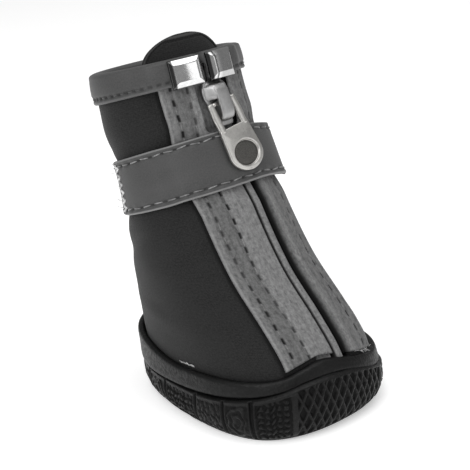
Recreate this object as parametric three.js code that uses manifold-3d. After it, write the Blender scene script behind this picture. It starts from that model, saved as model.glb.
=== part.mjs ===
// Dog shoe: a rubber cup sole under a softshell upper with a zip front, an ankle strap and a
// bound collar. Millimetres. X points to the toe, Y to the shoe's left and Z up. The origin is
// the middle of the tread, on the floor.
import * as THREE from 'three';
import Module from 'manifold-3d';
import { mergeVertices } from 'three/addons/utils/BufferGeometryUtils.js';

const wasm = await Module();
wasm.setup();

// Outsole
const soleLength = 72;
const soleWidth = 51; // across the middle
const soleEgg = 0.18; // share by which the toe half is wider and the heel half narrower
const soleSquareness = 2.4; // power of the outline's superellipse
const rimHeight = 15.4; // top of the rim band at the sides
const rimWall = 2.1; // rubber outside the upper, at the rim band
const cupWall = 3.2; // from the widest outline to the last
const floorThickness = 4.3; // from the floor to the cup's inside
const toeSpring = 1.5;
const heelBevel = 0.8;
const treadDepth = 1.4;
const treadGroove = 1.1; // width of the grooves between the lugs
const lugDepth = 7.2; // from the outline to the groove inside the edge lugs
const sideGroove = 1.0; // width of the upright grooves in the side
const sideGrooveDepth = 0.9;
const bandGrooveDepth = 1.0; // step under the rim band
const latticeGroove = 0.7;
const latticeDepth = 0.75;
const latticePitch = 2.6;
const latticeTilt = 24; // degrees from upright
const latticeEdge = 0.3; // how far to each side it reaches, as a share of soleWidth

// Upper
const upperHeight = 91.2; // the collar's front edge above the floor, without its binding
const upperWall = 2;
const slitHalf = 5; // half of the front slit that the zip closes
const pieceGap = 0.3; // clearance between pieces that touch

// Cloth and zip
const bandWidth = 9.3;
const bandThickness = 0.9;
const bandTop = 0.985; // where bands and zip tapes end, on the way up the front
const tapeThickness = 1;
const tapeInset = 0.5; // the zip tapes lie this deep in the slit
const tapeSplit = 0.3; // gap between the two tapes
const bindingHeight = 5.8;
const bindingThickness = 0.8;
const strapWidth = 15.6;
const strapThickness = 1.1;
const strapOverlap = 42; // degrees of strap that lie double
const strapPinch = 1.2; // how far the strap presses the upper in
const strapStandoff = 2; // how far it stands off the shoe's left side
const strapDrop = 2.2; // how much lower it sits there
const insoleThickness = 1.8;
const tongueHalf = 19.6; // half width, along the upper's outside
const tongueThickness = 1.4;
const tongueRise = 6.9; // above the collar's edge
const tongueRound = 14; // height of its round top
const tongueTurn = 84; // degrees of the round that the top follows
const tongueLength = 62;

// Metal
const clipWidth = 7.9;
const clipHeight = 7.3;
const clipOver = 0.6; // its top edge is this far above the upper's edge
const clipEdge = 0.5; // thickness at the clip's rim
const clipCrown = 1.5; // thickness at its flat top
const clipBevel = 1.4;
const clipSpread = 1.8; // gap between the two clips
const clipShift = 2.3; // how far that gap lies to the right of the zip's middle
const sliderLength = 12.5;
const sliderWidth = 8.4;
const sliderPlate = 1.5;
const bridgeLength = 10;
const bridgeHeight = 3.1;
const bridgeWidth = 4;
const bridgeBar = 1.3; // thickness of the bridge's own bar
const pinRadius = 0.6;
const pinRise = 0; // above the bridge's middle
const tabThickness = 1.2;
const tabArm = 1.4; // width of each arm
const tabPlay = 0.9; // between the bridge and each arm
const tabWindow = 1.8; // left open under the bridge
const tabSwing = 8; // degrees that it hangs to the shoe's left
const tabLength = 14.5; // from the pin to the ring's centre
const ringRadius = 5.6;
const ringStretch = 0.82; // the ring's length as a share of its width
const recessRadius = 4.1;
const recessDepth = 0.45;

// Places on the way up the front
const slitBottom = 0.02;
const strapMiddle = 0.645;
const sliderRun = 0.818;

const strapStart = 118; // degrees to the left of the front
const around = 48; // facets around the shoe
const degree = Math.PI / 180;

// The last is the form that the upper is pulled over. It fills the cup.
const lastLength = soleLength - 2 * cupWall;
const lastWidth = soleWidth - 2 * cupWall + 1.2;
const lastFloor = floorThickness + pieceGap;
const lastRise = upperHeight - lastFloor;

// Sections of the last, each in a tilted plane through its front and back point. run is the
// share of the way up the front, with 0 at the sole's widest line and 1 at the collar. front
// and back are shares of half the last's length, rises are shares of its rise above the cup's
// floor, half is a share of half its width, square is how much the section tends to a
// rectangle, and egg is how much wider its front is.
const lastSections = [
  [-0.1, 0.99, 0, -0.99, 0, 0.975, 0.03, 0.13],
  [0, 1, 0.085, -1, 0.085, 0.995, 0.03, 0.12],
  [0.085, 0.925, 0.166, -1.012, 0.16, 1.01, 0.03, 0.1],
  [0.18, 0.744, 0.253, -1.036, 0.236, 1, 0.02, 0.08],
  [0.333, 0.42, 0.389, -1.055, 0.334, 0.98, 0.01, 0.06],
  [0.5, 0.14, 0.565, -1.055, 0.444, 0.96, 0, 0.03],
  [0.66, -0.046, 0.72, -1.11, 0.582, 0.91, 0, 0.02],
  [0.83, -0.212, 0.868, -1.235, 0.748, 0.885, 0, 0],
  [1, -0.312, 1, -1.322, 0.916, 0.88, 0, 0],
].map(([run, front, frontRise, back, backRise, half, square, egg]) => (
  { run, front, frontRise, back, backRise, half, square, egg }
));

// Heights of the rim band's top and of the groove under it, as shares of rimHeight, against
// the angle from the toe in degrees, which grows to the shoe's left. The band rises in a
// wave over the toe and again behind the heel.
const rimSections = [
  { turn: -180, top: 1.19, groove: 0.5 },
  { turn: -150, top: 1.16, groove: 0.51 },
  { turn: -122, top: 1.1, groove: 0.52 },
  { turn: -98, top: 0.99, groove: 0.6 },
  { turn: -75, top: 1.01, groove: 0.67 },
  { turn: -50, top: 1.04, groove: 0.79 },
  { turn: -34, top: 1.08, groove: 0.89 },
  { turn: -22, top: 1.17, groove: 0.98 },
  { turn: -10, top: 1.23, groove: 1.01 },
  { turn: 2, top: 1.16, groove: 0.96 },
  { turn: 14, top: 1.06, groove: 0.84 },
  { turn: 28, top: 0.96, groove: 0.7 },
  { turn: 50, top: 0.93, groove: 0.62 },
  { turn: 90, top: 0.98, groove: 0.59 },
  { turn: 122, top: 1.08, groove: 0.54 },
  { turn: 150, top: 1.16, groove: 0.51 },
  { turn: 180, top: 1.19, groove: 0.5 },
];

// Side profile of the sole from the floor to the band's groove: the share of that height and
// how far it lies inside the widest outline, as a share of cupWall.
const sideProfile = [
  { rise: 0, inset: 1 },
  { rise: 0.11, inset: 0.55 },
  { rise: 0.32, inset: 0.18 },
  { rise: 0.65, inset: 0 },
  { rise: 0.94, inset: 0.08 },
];

function smoothstep(value, low, high) {
  const t = Math.min(1, Math.max(0, (value - low) / (high - low)));
  return t * t * (3 - 2 * t);
}

// Reads one column of a table on a smooth curve through its rows, straight past its ends.
function readTable(rows, key, column, at) {
  const last = rows.length - 1;
  let i = 0;
  while (i < last - 1 && rows[i + 1][key] < at) i += 1;
  const slope = (j) => {
    const low = Math.max(0, j - 1);
    const high = Math.min(last, j + 1);
    return (rows[high][column] - rows[low][column]) / (rows[high][key] - rows[low][key]);
  };
  const a = rows[i];
  const b = rows[i + 1];
  if (at < a[key]) return a[column] + slope(0) * (at - a[key]);
  if (at > b[key]) return b[column] + slope(last) * (at - b[key]);
  const h = b[key] - a[key];
  const t = (at - a[key]) / h;
  const keep = 2 * t ** 3 - 3 * t ** 2 + 1;
  const leave = t ** 3 - 2 * t ** 2 + t;
  const arrive = t ** 3 - t ** 2;
  return keep * a[column] + (1 - keep) * b[column] + h * (leave * slope(i) + arrive * slope(i + 1));
}

// A point of the last. angle is 0 at the front and grows to the shoe's left.
function lastPoint(run, angle) {
  const read = (column) => readTable(lastSections, 'run', column, run);
  const height = (column) => lastFloor + read(column) * lastRise;
  const front = new THREE.Vector3(read('front') * lastLength / 2, 0, height('frontRise'));
  const back = new THREE.Vector3(read('back') * lastLength / 2, 0, height('backRise'));
  const square = read('square');
  const along = (Math.cos(angle) - square * Math.cos(3 * angle)) / (1 - square);
  const across = (Math.sin(angle) + square * Math.sin(3 * angle)) / (1 - square);
  const axis = front.clone().sub(back);
  const pinch = strapPinch * (1 - smoothstep(Math.abs(run - strapMiddle), 0.07, 0.15));
  const point = front.clone().add(back).multiplyScalar(0.5);
  point.addScaledVector(axis.clone().normalize(), along * (axis.length() / 2 - pinch));
  point.y += across * (1 + read('egg') * along) * (read('half') * lastWidth / 2 - pinch);
  return point;
}

function lastNormal(run, angle) {
  const rise = lastPoint(run + 0.01, angle).sub(lastPoint(run - 0.01, angle));
  const turn = lastPoint(run, angle + 0.02).sub(lastPoint(run, angle - 0.02));
  return turn.cross(rise).normalize();
}

// A point at a distance outside the last's skin, which is the upper's outside.
function skinPoint(run, angle, offset) {
  return lastPoint(run, angle).addScaledVector(lastNormal(run, angle), offset);
}

// The angle at which the way around a section, from its front, reaches a length.
const arcTables = new Map();
function angleAtArc(run, arc) {
  const key = run.toFixed(4);
  if (!arcTables.has(key)) {
    const lengths = [0];
    for (let i = 1; i <= 90; i += 1) {
      const step = lastPoint(run, 2 * i * degree).distanceTo(lastPoint(run, 2 * (i - 1) * degree));
      lengths.push(lengths[i - 1] + step);
    }
    arcTables.set(key, lengths);
  }
  const lengths = arcTables.get(key);
  const target = Math.abs(arc);
  let i = 1;
  while (i < 90 && lengths[i] < target) i += 1;
  const share = (target - lengths[i - 1]) / (lengths[i] - lengths[i - 1]);
  return Math.sign(arc) * 2 * (i - 1 + share) * degree;
}

function arcAtAngle(run, angle) {
  angleAtArc(run, 0);
  const lengths = arcTables.get(run.toFixed(4));
  const place = Math.abs(angle) / (2 * degree);
  const i = Math.min(89, Math.floor(place));
  return Math.sign(angle) * (lengths[i] + (place - i) * (lengths[i + 1] - lengths[i]));
}

// The run at which the last's skin reaches a height, on one angle.
function runAtHeight(angle, height) {
  let low = -0.3;
  let high = 1;
  for (let i = 0; i < 40; i += 1) {
    const middle = (low + high) / 2;
    if (lastPoint(middle, angle).z < height) low = middle;
    else high = middle;
  }
  return (low + high) / 2;
}

// How much run one millimetre along the front is, near a given run.
function runPerMillimetre(run) {
  return 0.02 / lastPoint(run + 0.01, 0).distanceTo(lastPoint(run - 0.01, 0));
}

// Closed solid through rings of equal count. It ends in caps, or joins its last ring to its
// first. capFaces lists the triangles of a cap that isn't a fan.
function loft(rings, { loop = false, capFaces = null } = {}) {
  const count = rings[0].length;
  const position = rings.flat().flatMap((p) => [p.x, p.y, p.z]);
  const index = [];
  const spans = loop ? rings.length : rings.length - 1;
  for (let i = 0; i < spans; i += 1) {
    const low = i * count;
    const high = ((i + 1) % rings.length) * count;
    for (let j = 0; j < count; j += 1) {
      const k = (j + 1) % count;
      index.push(low + j, low + k, high + k, low + j, high + k, high + j);
    }
  }
  if (!loop) {
    [0, rings.length - 1].forEach((ring, end) => {
      const start = ring * count;
      const faces = [];
      if (capFaces) {
        capFaces.forEach((face) => faces.push(face.map((corner) => start + corner)));
      } else {
        const centre = rings[ring].reduce((sum, p) => sum.add(p), new THREE.Vector3());
        centre.multiplyScalar(1 / count);
        const middle = position.length / 3;
        position.push(centre.x, centre.y, centre.z);
        for (let j = 0; j < count; j += 1) faces.push([start + j, start + (j + 1) % count, middle]);
      }
      faces.forEach(([a, b, c]) => (end ? index.push(a, b, c) : index.push(b, a, c)));
    });
  }
  return facingOut(position, index);
}

function facingOut(position, index) {
  const corner = (i) => new THREE.Vector3().fromArray(position, 3 * index[i]);
  let volume = 0;
  for (let i = 0; i < index.length; i += 3) {
    volume += corner(i).dot(corner(i + 1).cross(corner(i + 2)));
  }
  if (volume < 0) {
    for (let i = 0; i < index.length; i += 3) {
      [index[i], index[i + 1]] = [index[i + 1], index[i]];
    }
  }
  const geometry = new THREE.BufferGeometry();
  geometry.setAttribute('position', new THREE.Float32BufferAttribute(position, 3));
  geometry.setIndex(index);
  return geometry;
}

// Cap of a ring whose first half is one side of a strip and whose second half comes back.
function stripCap(count) {
  const faces = [];
  for (let j = 0; j < count - 1; j += 1) {
    const back = 2 * count - 1 - j;
    faces.push([j, j + 1, back - 1], [j, back - 1, back]);
  }
  return faces;
}

// Curved sheet. rows lists runs; place(row, column) gives {run, angle, inner, outer}.
function sheet(rows, columns, place) {
  const rings = [];
  for (let i = 0; i < rows; i += 1) {
    const outside = [];
    const inside = [];
    for (let j = 0; j < columns; j += 1) {
      const at = place(i / (rows - 1), j / (columns - 1));
      outside.push(skinPoint(at.run, at.angle, at.outer));
      inside.unshift(skinPoint(at.run, at.angle, at.inner));
    }
    rings.push([...outside, ...inside]);
  }
  return loft(rings, { capFaces: stripCap(columns) });
}

// Boolean cuts and joins
function toSolid(geometry) {
  const bare = geometry.clone();
  bare.deleteAttribute('normal');
  bare.deleteAttribute('uv');
  const merged = mergeVertices(bare, 1e-5);
  const vertProperties = new Float32Array(merged.attributes.position.array);
  const triVerts = new Uint32Array(merged.index.array);
  return new wasm.Manifold(new wasm.Mesh({ numProp: 3, vertProperties, triVerts }));
}

function toGeometry(solid) {
  const mesh = solid.getMesh();
  const geometry = new THREE.BufferGeometry();
  geometry.setAttribute('position', new THREE.BufferAttribute(mesh.vertProperties, 3));
  geometry.setIndex(new THREE.BufferAttribute(mesh.triVerts, 1));
  return geometry;
}

function cut(base, tools) {
  const body = tools.reduce((solid, tool) => solid.subtract(toSolid(tool)), toSolid(base));
  return toGeometry(body);
}

function join(parts) {
  const body = parts.slice(1).reduce((solid, part) => solid.add(toSolid(part)), toSolid(parts[0]));
  return toGeometry(body);
}

function prism(points, low, high, hole = null) {
  const clockwise = THREE.ShapeUtils.isClockWise(points);
  const shape = new THREE.Shape(clockwise ? [...points].reverse() : points);
  if (hole) shape.holes.push(new THREE.Path(hole));
  const geometry = new THREE.ExtrudeGeometry(shape, { depth: high - low, bevelEnabled: false });
  return geometry.translate(0, 0, low);
}

// Outsole
function signedPower(value, power) {
  return Math.sign(value) * Math.abs(value) ** power;
}

function outlinePoint(angle, inset = 0) {
  const at = (turn) => {
    const along = signedPower(Math.cos(turn), 2 / soleSquareness);
    const across = signedPower(Math.sin(turn), 2 / soleSquareness);
    return new THREE.Vector2(along * soleLength / 2, across * (1 + soleEgg * along) * soleWidth / 2);
  };
  const tangent = at(angle + 0.02).sub(at(angle - 0.02)).normalize();
  return at(angle).add(new THREE.Vector2(-tangent.y, tangent.x).multiplyScalar(inset));
}

// An angle from the toe in degrees, between -180 and 180.
function turnFromToe(angle) {
  return Math.atan2(Math.sin(angle), Math.cos(angle)) / degree;
}

function rimTop(angle) {
  return rimHeight * readTable(rimSections, 'turn', 'top', turnFromToe(angle));
}

function rimGroove(angle) {
  return rimHeight * readTable(rimSections, 'turn', 'groove', turnFromToe(angle));
}

// How far the tread is lifted off the floor at the toe and at the heel.
function treadLift(x) {
  const toe = smoothstep(x, soleLength * 0.3, soleLength * 0.56);
  const heel = smoothstep(-x, soleLength * 0.4, soleLength * 0.54);
  return toeSpring * toe + heelBevel * heel;
}

// The tread is flat inside the last of these lines around it, and follows the lift outside.
const treadInsets = [0.205 * soleLength, lugDepth + treadGroove];

function soleRings() {
  const rings = [];
  const ringOf = (pointAt) => {
    const ring = [];
    for (let j = 0; j < around; j += 1) ring.push(pointAt(2 * Math.PI * j / around));
    return ring;
  };
  treadInsets.forEach((inset) => {
    rings.push(ringOf((angle) => {
      const flat = outlinePoint(angle, inset);
      return new THREE.Vector3(flat.x, flat.y, treadLift(flat.x));
    }));
  });
  sideProfile.forEach((row) => {
    rings.push(ringOf((angle) => {
      const flat = outlinePoint(angle, row.inset * cupWall);
      const lift = treadLift(flat.x) * (1 - row.rise);
      return new THREE.Vector3(flat.x, flat.y, lift + row.rise * rimGroove(angle));
    }));
  });
  rings.push(ringOf((angle) => {
    const flat = outlinePoint(angle, 0.1 * cupWall + bandGrooveDepth);
    return new THREE.Vector3(flat.x, flat.y, rimGroove(angle));
  }));
  const bandRows = [
    { rise: 0.12, wall: 1.1 },
    { rise: 0.5, wall: 1.05 },
    { rise: 0.88, wall: 0.95 },
    { rise: 1, wall: 0.6 },
    { rise: 1, wall: -1 },
  ];
  bandRows.forEach((row) => {
    rings.push(ringOf((angle) => {
      const height = rimGroove(angle) + row.rise * (rimTop(angle) - rimGroove(angle));
      const run = runAtHeight(angle, height);
      const point = skinPoint(run, angle, pieceGap + row.wall * rimWall);
      return new THREE.Vector3(point.x, point.y, height);
    }));
  });
  return rings;
}

// The space that the last and the upper fill, with the clearance between pieces.
function cupSpace() {
  const runs = [-0.1, 0, 0.06, 0.12, 0.18, 0.26, 0.36];
  const rings = runs.map((run) => {
    const ring = [];
    for (let j = 0; j < around; j += 1) {
      const point = skinPoint(run, 2 * Math.PI * j / around, pieceGap);
      if (run === runs[0]) point.z = floorThickness;
      ring.push(point);
    }
    return ring;
  });
  return loft(rings);
}

// Grooves across the tread: where they cross the middle, as a share of half the length, and
// how far they bow to the toe.
const crossGrooves = [
  { at: 0.72, bow: -1.5 },
  { at: 0.42, bow: -1 },
  { at: 0.1, bow: 1.5 },
  { at: -0.26, bow: 3 },
  { at: -0.62, bow: 4 },
];

function crossGroove(row) {
  const points = [];
  const steps = 8;
  const middle = row.at * soleLength / 2;
  for (const side of [1, -1]) {
    for (let i = 0; i <= steps; i += 1) {
      const share = side * (2 * i / steps - 1);
      const x = middle + row.bow * (1 - share * share) - row.bow / 2;
      points.push(new THREE.Vector2(x + side * treadGroove / 2, share * soleWidth * 0.62));
    }
  }
  return prism(points, -1, treadDepth);
}

function lugRing() {
  const ring = (inset) => {
    const points = [];
    for (let j = 0; j < around; j += 1) points.push(outlinePoint(2 * Math.PI * j / around, inset));
    return points;
  };
  return prism(ring(lugDepth), -1, treadDepth, ring(lugDepth + treadGroove));
}

// A box on the sole's edge that points along the outline's normal, tilted along the edge.
function edgeBox(angle, depth, width, low, high, tilt = 0) {
  const edge = outlinePoint(angle);
  const inward = outlinePoint(angle, 1).sub(edge);
  const reach = 3;
  const block = new THREE.BoxGeometry(depth + reach, width, (high - low) / Math.cos(tilt * degree));
  block.rotateX(tilt * degree);
  block.translate((reach - depth) / 2, 0, (low + high) / 2);
  block.rotateZ(Math.atan2(-inward.y, -inward.x));
  return block.translate(edge.x, edge.y, 0);
}

// Edge lugs are parted on these angles from the toe, on both sides.
const lugTurns = [52, 68, 84, 101, 119, 138, 158];

function sideGrooves() {
  const tools = [];
  lugTurns.forEach((turn) => {
    for (const side of [1, -1]) {
      const angle = side * turn * degree;
      tools.push(edgeBox(angle, lugDepth + treadGroove / 2, sideGroove, -1, treadDepth));
      tools.push(edgeBox(angle, sideGrooveDepth, sideGroove, -1, rimGroove(angle)));
    }
  });
  return tools;
}

// Slanted grooves both ways leave a lattice of tall diamonds on the toe.
function toeLattice() {
  const tools = [];
  const turns = [];
  const edge = soleWidth * latticeEdge;
  for (let y = -edge; y <= edge; y += latticePitch) {
    let turn = 0;
    while (Math.abs(outlinePoint(turn).y) < Math.abs(y)) turn += 0.01;
    turns.push(Math.sign(y) * turn);
  }
  turns.forEach((angle) => {
    for (const side of [1, -1]) {
      const high = rimGroove(angle) - 0.6;
      tools.push(edgeBox(angle, latticeDepth, latticeGroove, 0.4, high, side * latticeTilt));
    }
  });
  return tools;
}

function outsole() {
  const tools = [cupSpace(), lugRing()];
  crossGrooves.forEach((row) => tools.push(crossGroove(row)));
  tools.push(...sideGrooves(), ...toeLattice());
  return cut(loft(soleRings()), tools);
}

function insole() {
  const low = lastFloor;
  const high = low + insoleThickness;
  const rings = [low, high].map((height) => {
    const ring = [];
    for (let j = 0; j < around; j += 1) {
      const angle = 2 * Math.PI * j / around;
      const point = skinPoint(runAtHeight(angle, height), angle, -upperWall - pieceGap);
      ring.push(new THREE.Vector3(point.x, point.y, height));
    }
    return ring;
  });
  return loft(rings);
}

// Upper
function slitCutter() {
  return sheet(16, 3, (up, over) => {
    const run = slitBottom + up * (1.06 - slitBottom);
    const angle = angleAtArc(run, slitHalf * (2 * over - 1));
    return { run, angle, inner: -2 * upperWall, outer: upperWall };
  });
}

function upper() {
  const outerRuns = [-0.1, 0, 0.06, 0.12, 0.18, 0.26, 0.35, 0.44, 0.52, 0.57, 0.645, 0.72, 0.78, 0.88, 1];
  const innerRuns = [1, 0.8, 0.72, 0.645, 0.57, 0.48, 0.35, 0.2, 0.09, 0, -0.1];
  const ringAt = (run, offset) => {
    const ring = [];
    for (let j = 0; j < around; j += 1) {
      const point = skinPoint(run, 2 * Math.PI * j / around, offset);
      if (run === outerRuns[0]) point.z = lastFloor;
      ring.push(point);
    }
    return ring;
  };
  const rings = outerRuns.map((run) => ringAt(run, 0));
  innerRuns.forEach((run) => rings.push(ringAt(run, -upperWall)));
  return cut(loft(rings, { loop: true }), [slitCutter()]);
}

// Cloth bands along the slit, from the rim band to just under the collar's edge
function band(side) {
  return sheet(17, 4, (up, over) => {
    const arc = side * (slitHalf + pieceGap + over * bandWidth);
    const low = clearOfRim(arc);
    const run = low + up * (bandTop - low);
    const inner = pieceGap;
    return { run, angle: angleAtArc(run, arc), inner, outer: inner + bandThickness };
  });
}

// The lowest run at which a piece on the skin clears the rim band.
function clearOfRim(arc) {
  let run = 0.1;
  for (let i = 0; i < 6; i += 1) {
    const angle = angleAtArc(run, arc);
    run = runAtHeight(angle, rimTop(angle) + 2 * pieceGap);
  }
  return run;
}

function zipTape(side) {
  return sheet(17, 2, (up, over) => {
    const low = slitBottom + pieceGap * runPerMillimetre(slitBottom);
    const run = low + up * (bandTop - low);
    const arc = side * (tapeSplit / 2 + over * (slitHalf - pieceGap - tapeSplit / 2));
    return { run, angle: angleAtArc(run, arc), inner: -tapeInset - tapeThickness, outer: -tapeInset };
  });
}

// Cloth that passes over the bands keeps off the skin there.
function overBands(arc) {
  const edge = slitHalf + pieceGap + bandWidth;
  const off = smoothstep(Math.abs(arc), edge + 0.6, edge + 6);
  return pieceGap + (bandThickness + pieceGap) * (1 - off);
}

// Binding: folded over the collar's edge, its ends beside the zip
const bindingCorners = 7; // on each side of its profile

function collarBinding() {
  const columns = 42;
  const perMillimetre = runPerMillimetre(0.97);
  const low = 1 - bindingHeight * perMillimetre;
  const rings = [];
  for (let i = 0; i < columns; i += 1) {
    const share = i / (columns - 1);
    const start = angleAtArc(1, clipSpread / 2 - clipShift);
    const end = 2 * Math.PI - angleAtArc(1, clipSpread / 2 + clipShift);
    const turn = start + share * (end - start);
    const angle = turn > Math.PI ? turn - 2 * Math.PI : turn;
    const outer = overBands(arcAtAngle(1, angle));
    const inner = -upperWall - pieceGap;
    const profile = bindingProfile(low, perMillimetre, inner, outer);
    rings.push(profile.map(([run, offset]) => skinPoint(run, angle, offset)));
  }
  return loft(rings, { capFaces: stripCap(bindingCorners) });
}

// Pairs of run and offset: up the outside, over the fold, down the inside, and back.
function bindingProfile(low, perMillimetre, inner, outer) {
  const over = pieceGap * perMillimetre;
  const thick = bindingThickness * perMillimetre;
  const outside = outer + bindingThickness;
  const inside = inner - bindingThickness;
  const round = 0.8;
  return [
    [low, outside],
    [1, outside],
    [1 + over + 0.6 * thick, outside - 0.3 * round],
    [1 + over + thick, (outside + inside) / 2],
    [1 + over + 0.6 * thick, inside + 0.3 * round],
    [1, inside],
    [low, inside],
    [low, inner],
    [1, inner],
    [1 + over, inner + 0.1],
    [1 + over, (outer + inner) / 2],
    [1 + over, outer - 0.1],
    [1, outer],
    [low, outer],
  ];
}

// Clips: bevelled squares over the binding's two ends
function clip(side) {
  const steps = [0, clipBevel / clipWidth, 1 - clipBevel / clipWidth, 1];
  const perMillimetre = runPerMillimetre(0.96);
  const last = steps.length - 1;
  return sheet(4, 4, (up, over) => {
    const i = Math.round(up * last);
    const j = Math.round(over * last);
    const run = 1 + perMillimetre * (clipOver - clipHeight * (1 - steps[i]));
    const arc = side * (clipSpread / 2 + steps[j] * clipWidth) - clipShift;
    const rim = i === 0 || j === 0 || i === last || j === last;
    const inner = 2 * pieceGap + bandThickness + bindingThickness + pieceGap;
    const outer = inner + (rim ? clipEdge : clipCrown);
    return { run, angle: angleAtArc(run, arc), inner, outer };
  });
}

// Strap: once around the ankle and over its own start, on the left at the back
function strap() {
  const columns = 50;
  const lowRun = strapMiddle - strapWidth / 2 * runPerMillimetre(strapMiddle);
  const highRun = strapMiddle + strapWidth / 2 * runPerMillimetre(strapMiddle);
  const sweep = 360 + strapOverlap;
  const lift = strapThickness + pieceGap;
  return sheet(3, columns, (up, over) => {
    const turn = strapStart + over * sweep;
    const angle = Math.atan2(Math.sin(turn * degree), Math.cos(turn * degree));
    const slack = smoothstep(angle / degree, 12, 55) * (1 - smoothstep(angle / degree, 95, 150));
    const sunk = strapDrop * slack * runPerMillimetre(strapMiddle);
    const run = lowRun + up * (highRun - lowRun) - sunk;
    const raised = smoothstep(over * sweep, 360 - 16, 360 - 4);
    const inner = overBands(arcAtAngle(run, angle)) + strapStandoff * slack + lift * raised;
    return { run, angle, inner, outer: inner + strapThickness };
  });
}

// Tongue: a curved plate behind the zip with a round top
function tongue() {
  const perMillimetre = runPerMillimetre(0.97);
  const top = 1 + tongueRise * perMillimetre;
  const low = top - tongueLength * perMillimetre;
  const round = tongueRound * perMillimetre;
  const outer = -upperWall - 2 * pieceGap - bindingThickness;
  const straight = 0.4; // share of the rows below the round top
  return sheet(16, 7, (up, over) => {
    const turn = Math.max(0, (up - straight) / (1 - straight)) * tongueTurn * degree;
    const below = Math.min(1, up / straight);
    const rise = round * Math.sin(turn) / Math.sin(tongueTurn * degree);
    const run = low + below * (top - round - low) + rise;
    const arc = tongueHalf * Math.cos(turn) * (2 * over - 1);
    return { run, angle: angleAtArc(run, arc), inner: outer - tongueThickness, outer };
  });
}

// Slider and pull tab, in a frame on the zip: x out of the skin, y to the left, z up the zip
const plateLow = pieceGap + 0.1 - tapeInset;
const plateTop = plateLow + sliderPlate;
const pinHeight = plateTop + pieceGap + pinRadius;

function sliderOutline() {
  const half = sliderWidth / 2;
  const long = sliderLength / 2;
  return [
    [-0.55 * half, -long],
    [0.55 * half, -long],
    [0.7 * half, -0.88 * long],
    [0.72 * half, -0.12 * long],
    [half, 0.24 * long],
    [half, 0.74 * long],
    [0.62 * half, long],
    [-0.62 * half, long],
    [-half, 0.74 * long],
    [-half, 0.24 * long],
    [-0.72 * half, -0.12 * long],
    [-0.7 * half, -0.88 * long],
  ].map(([y, z]) => new THREE.Vector2(y, z));
}

// Turns a plate drawn in x and y and extruded along z so that it lies on the zip.
function ontoZip(geometry) {
  const swap = new THREE.Matrix4().set(0, 0, 1, 0, 1, 0, 0, 0, 0, 1, 0, 0, 0, 0, 0, 1);
  return geometry.applyMatrix4(swap);
}

function slider() {
  const plate = ontoZip(prism(sliderOutline(), plateLow, plateTop));
  const arch = [];
  const window = [];
  const steps = 8;
  for (let i = 0; i <= steps; i += 1) {
    const turn = Math.PI * i / steps;
    const along = signedPower(Math.cos(turn), 0.5);
    const up = Math.sin(turn) ** 0.5;
    const inLength = bridgeLength / 2 - bridgeBar;
    const inHeight = bridgeHeight - bridgeBar;
    arch.push(new THREE.Vector2(plateTop - 0.4 + (bridgeHeight + 0.4) * up, along * bridgeLength / 2));
    window.push(new THREE.Vector2(plateTop + inHeight * up, along * inLength));
  }
  const bridge = prism(arch, -bridgeWidth / 2, bridgeWidth / 2, window);
  bridge.applyMatrix4(new THREE.Matrix4().set(1, 0, 0, 0, 0, 0, 1, 0, 0, 1, 0, 0, 0, 0, 0, 1));
  return join([plate, flipIfInside(bridge)]);
}

// A mirrored frame change turns faces inwards, so they are turned back.
function flipIfInside(geometry) {
  const bare = geometry.clone();
  bare.deleteAttribute('normal');
  bare.deleteAttribute('uv');
  const merged = mergeVertices(bare, 1e-5);
  return facingOut(Array.from(merged.attributes.position.array), Array.from(merged.index.array));
}

function pullTab() {
  const armGap = bridgeWidth / 2 + tabPlay;
  const armOut = armGap + tabArm;
  const windowEnd = -(bridgeLength / 2 + pinRise) - tabWindow;
  const outline = [];
  const ringSteps = 14;
  outline.push(new THREE.Vector2(-armOut, pinRadius));
  for (let i = 0; i <= ringSteps; i += 1) {
    const turn = (175 + 190 * i / ringSteps) * degree;
    const y = ringRadius * Math.cos(turn);
    const z = -tabLength + ringRadius * ringStretch * Math.sin(turn);
    outline.push(new THREE.Vector2(y, z));
  }
  outline.push(new THREE.Vector2(armOut, pinRadius));
  const window = [
    [-armGap, -0.8 * pinRadius],
    [armGap, -0.8 * pinRadius],
    [armGap, windowEnd],
    [-armGap, windowEnd],
  ].map(([y, z]) => new THREE.Vector2(y, z));
  const plate = ontoZip(prism(outline, -tabThickness / 2, tabThickness / 2, window));
  const recess = new THREE.CylinderGeometry(recessRadius, recessRadius, 2 * recessDepth, 20);
  recess.rotateZ(Math.PI / 2);
  recess.scale(1, 1, ringStretch);
  recess.translate(tabThickness / 2, 0, -tabLength);
  return cut(plate, [recess]);
}

// The tab hangs from its pin and lies on the strap, so it leans out by this angle.
function tabLean() {
  const strapTop = strapMiddle + strapWidth / 2 * runPerMillimetre(strapMiddle);
  const frame = zipFrame();
  const toFrame = frame.matrix.clone().invert();
  let lean = 0;
  for (let i = 0; i <= 12; i += 1) {
    const run = strapTop - i / 12 * strapWidth * runPerMillimetre(strapMiddle);
    const rest = overBands(0) + strapThickness + pieceGap;
    const point = skinPoint(run, 0, rest).applyMatrix4(toFrame);
    const drop = pinRise - point.z;
    if (drop > tabLength + ringRadius * ringStretch) break;
    const height = point.x - pinHeight;
    const reach = Math.hypot(height, drop);
    const angle = Math.atan2(height, drop) + Math.asin(tabThickness / 2 / reach);
    lean = Math.max(lean, angle);
  }
  return lean;
}

function zipFrame() {
  const frame = new THREE.Group();
  const outward = lastNormal(sliderRun, 0);
  const left = new THREE.Vector3(0, 1, 0);
  const up = outward.clone().cross(left).normalize();
  frame.matrix.makeBasis(outward, left, up);
  frame.matrix.setPosition(lastPoint(sliderRun, 0));
  frame.matrix.decompose(frame.position, frame.quaternion, frame.scale);
  return frame;
}

// Materials
function material(color, roughness, metalness = 0) {
  return new THREE.MeshStandardMaterial({ color, roughness, metalness });
}

function piece(name, geometry, finish) {
  const mesh = new THREE.Mesh(geometry, finish);
  mesh.name = name;
  return mesh;
}

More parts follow.
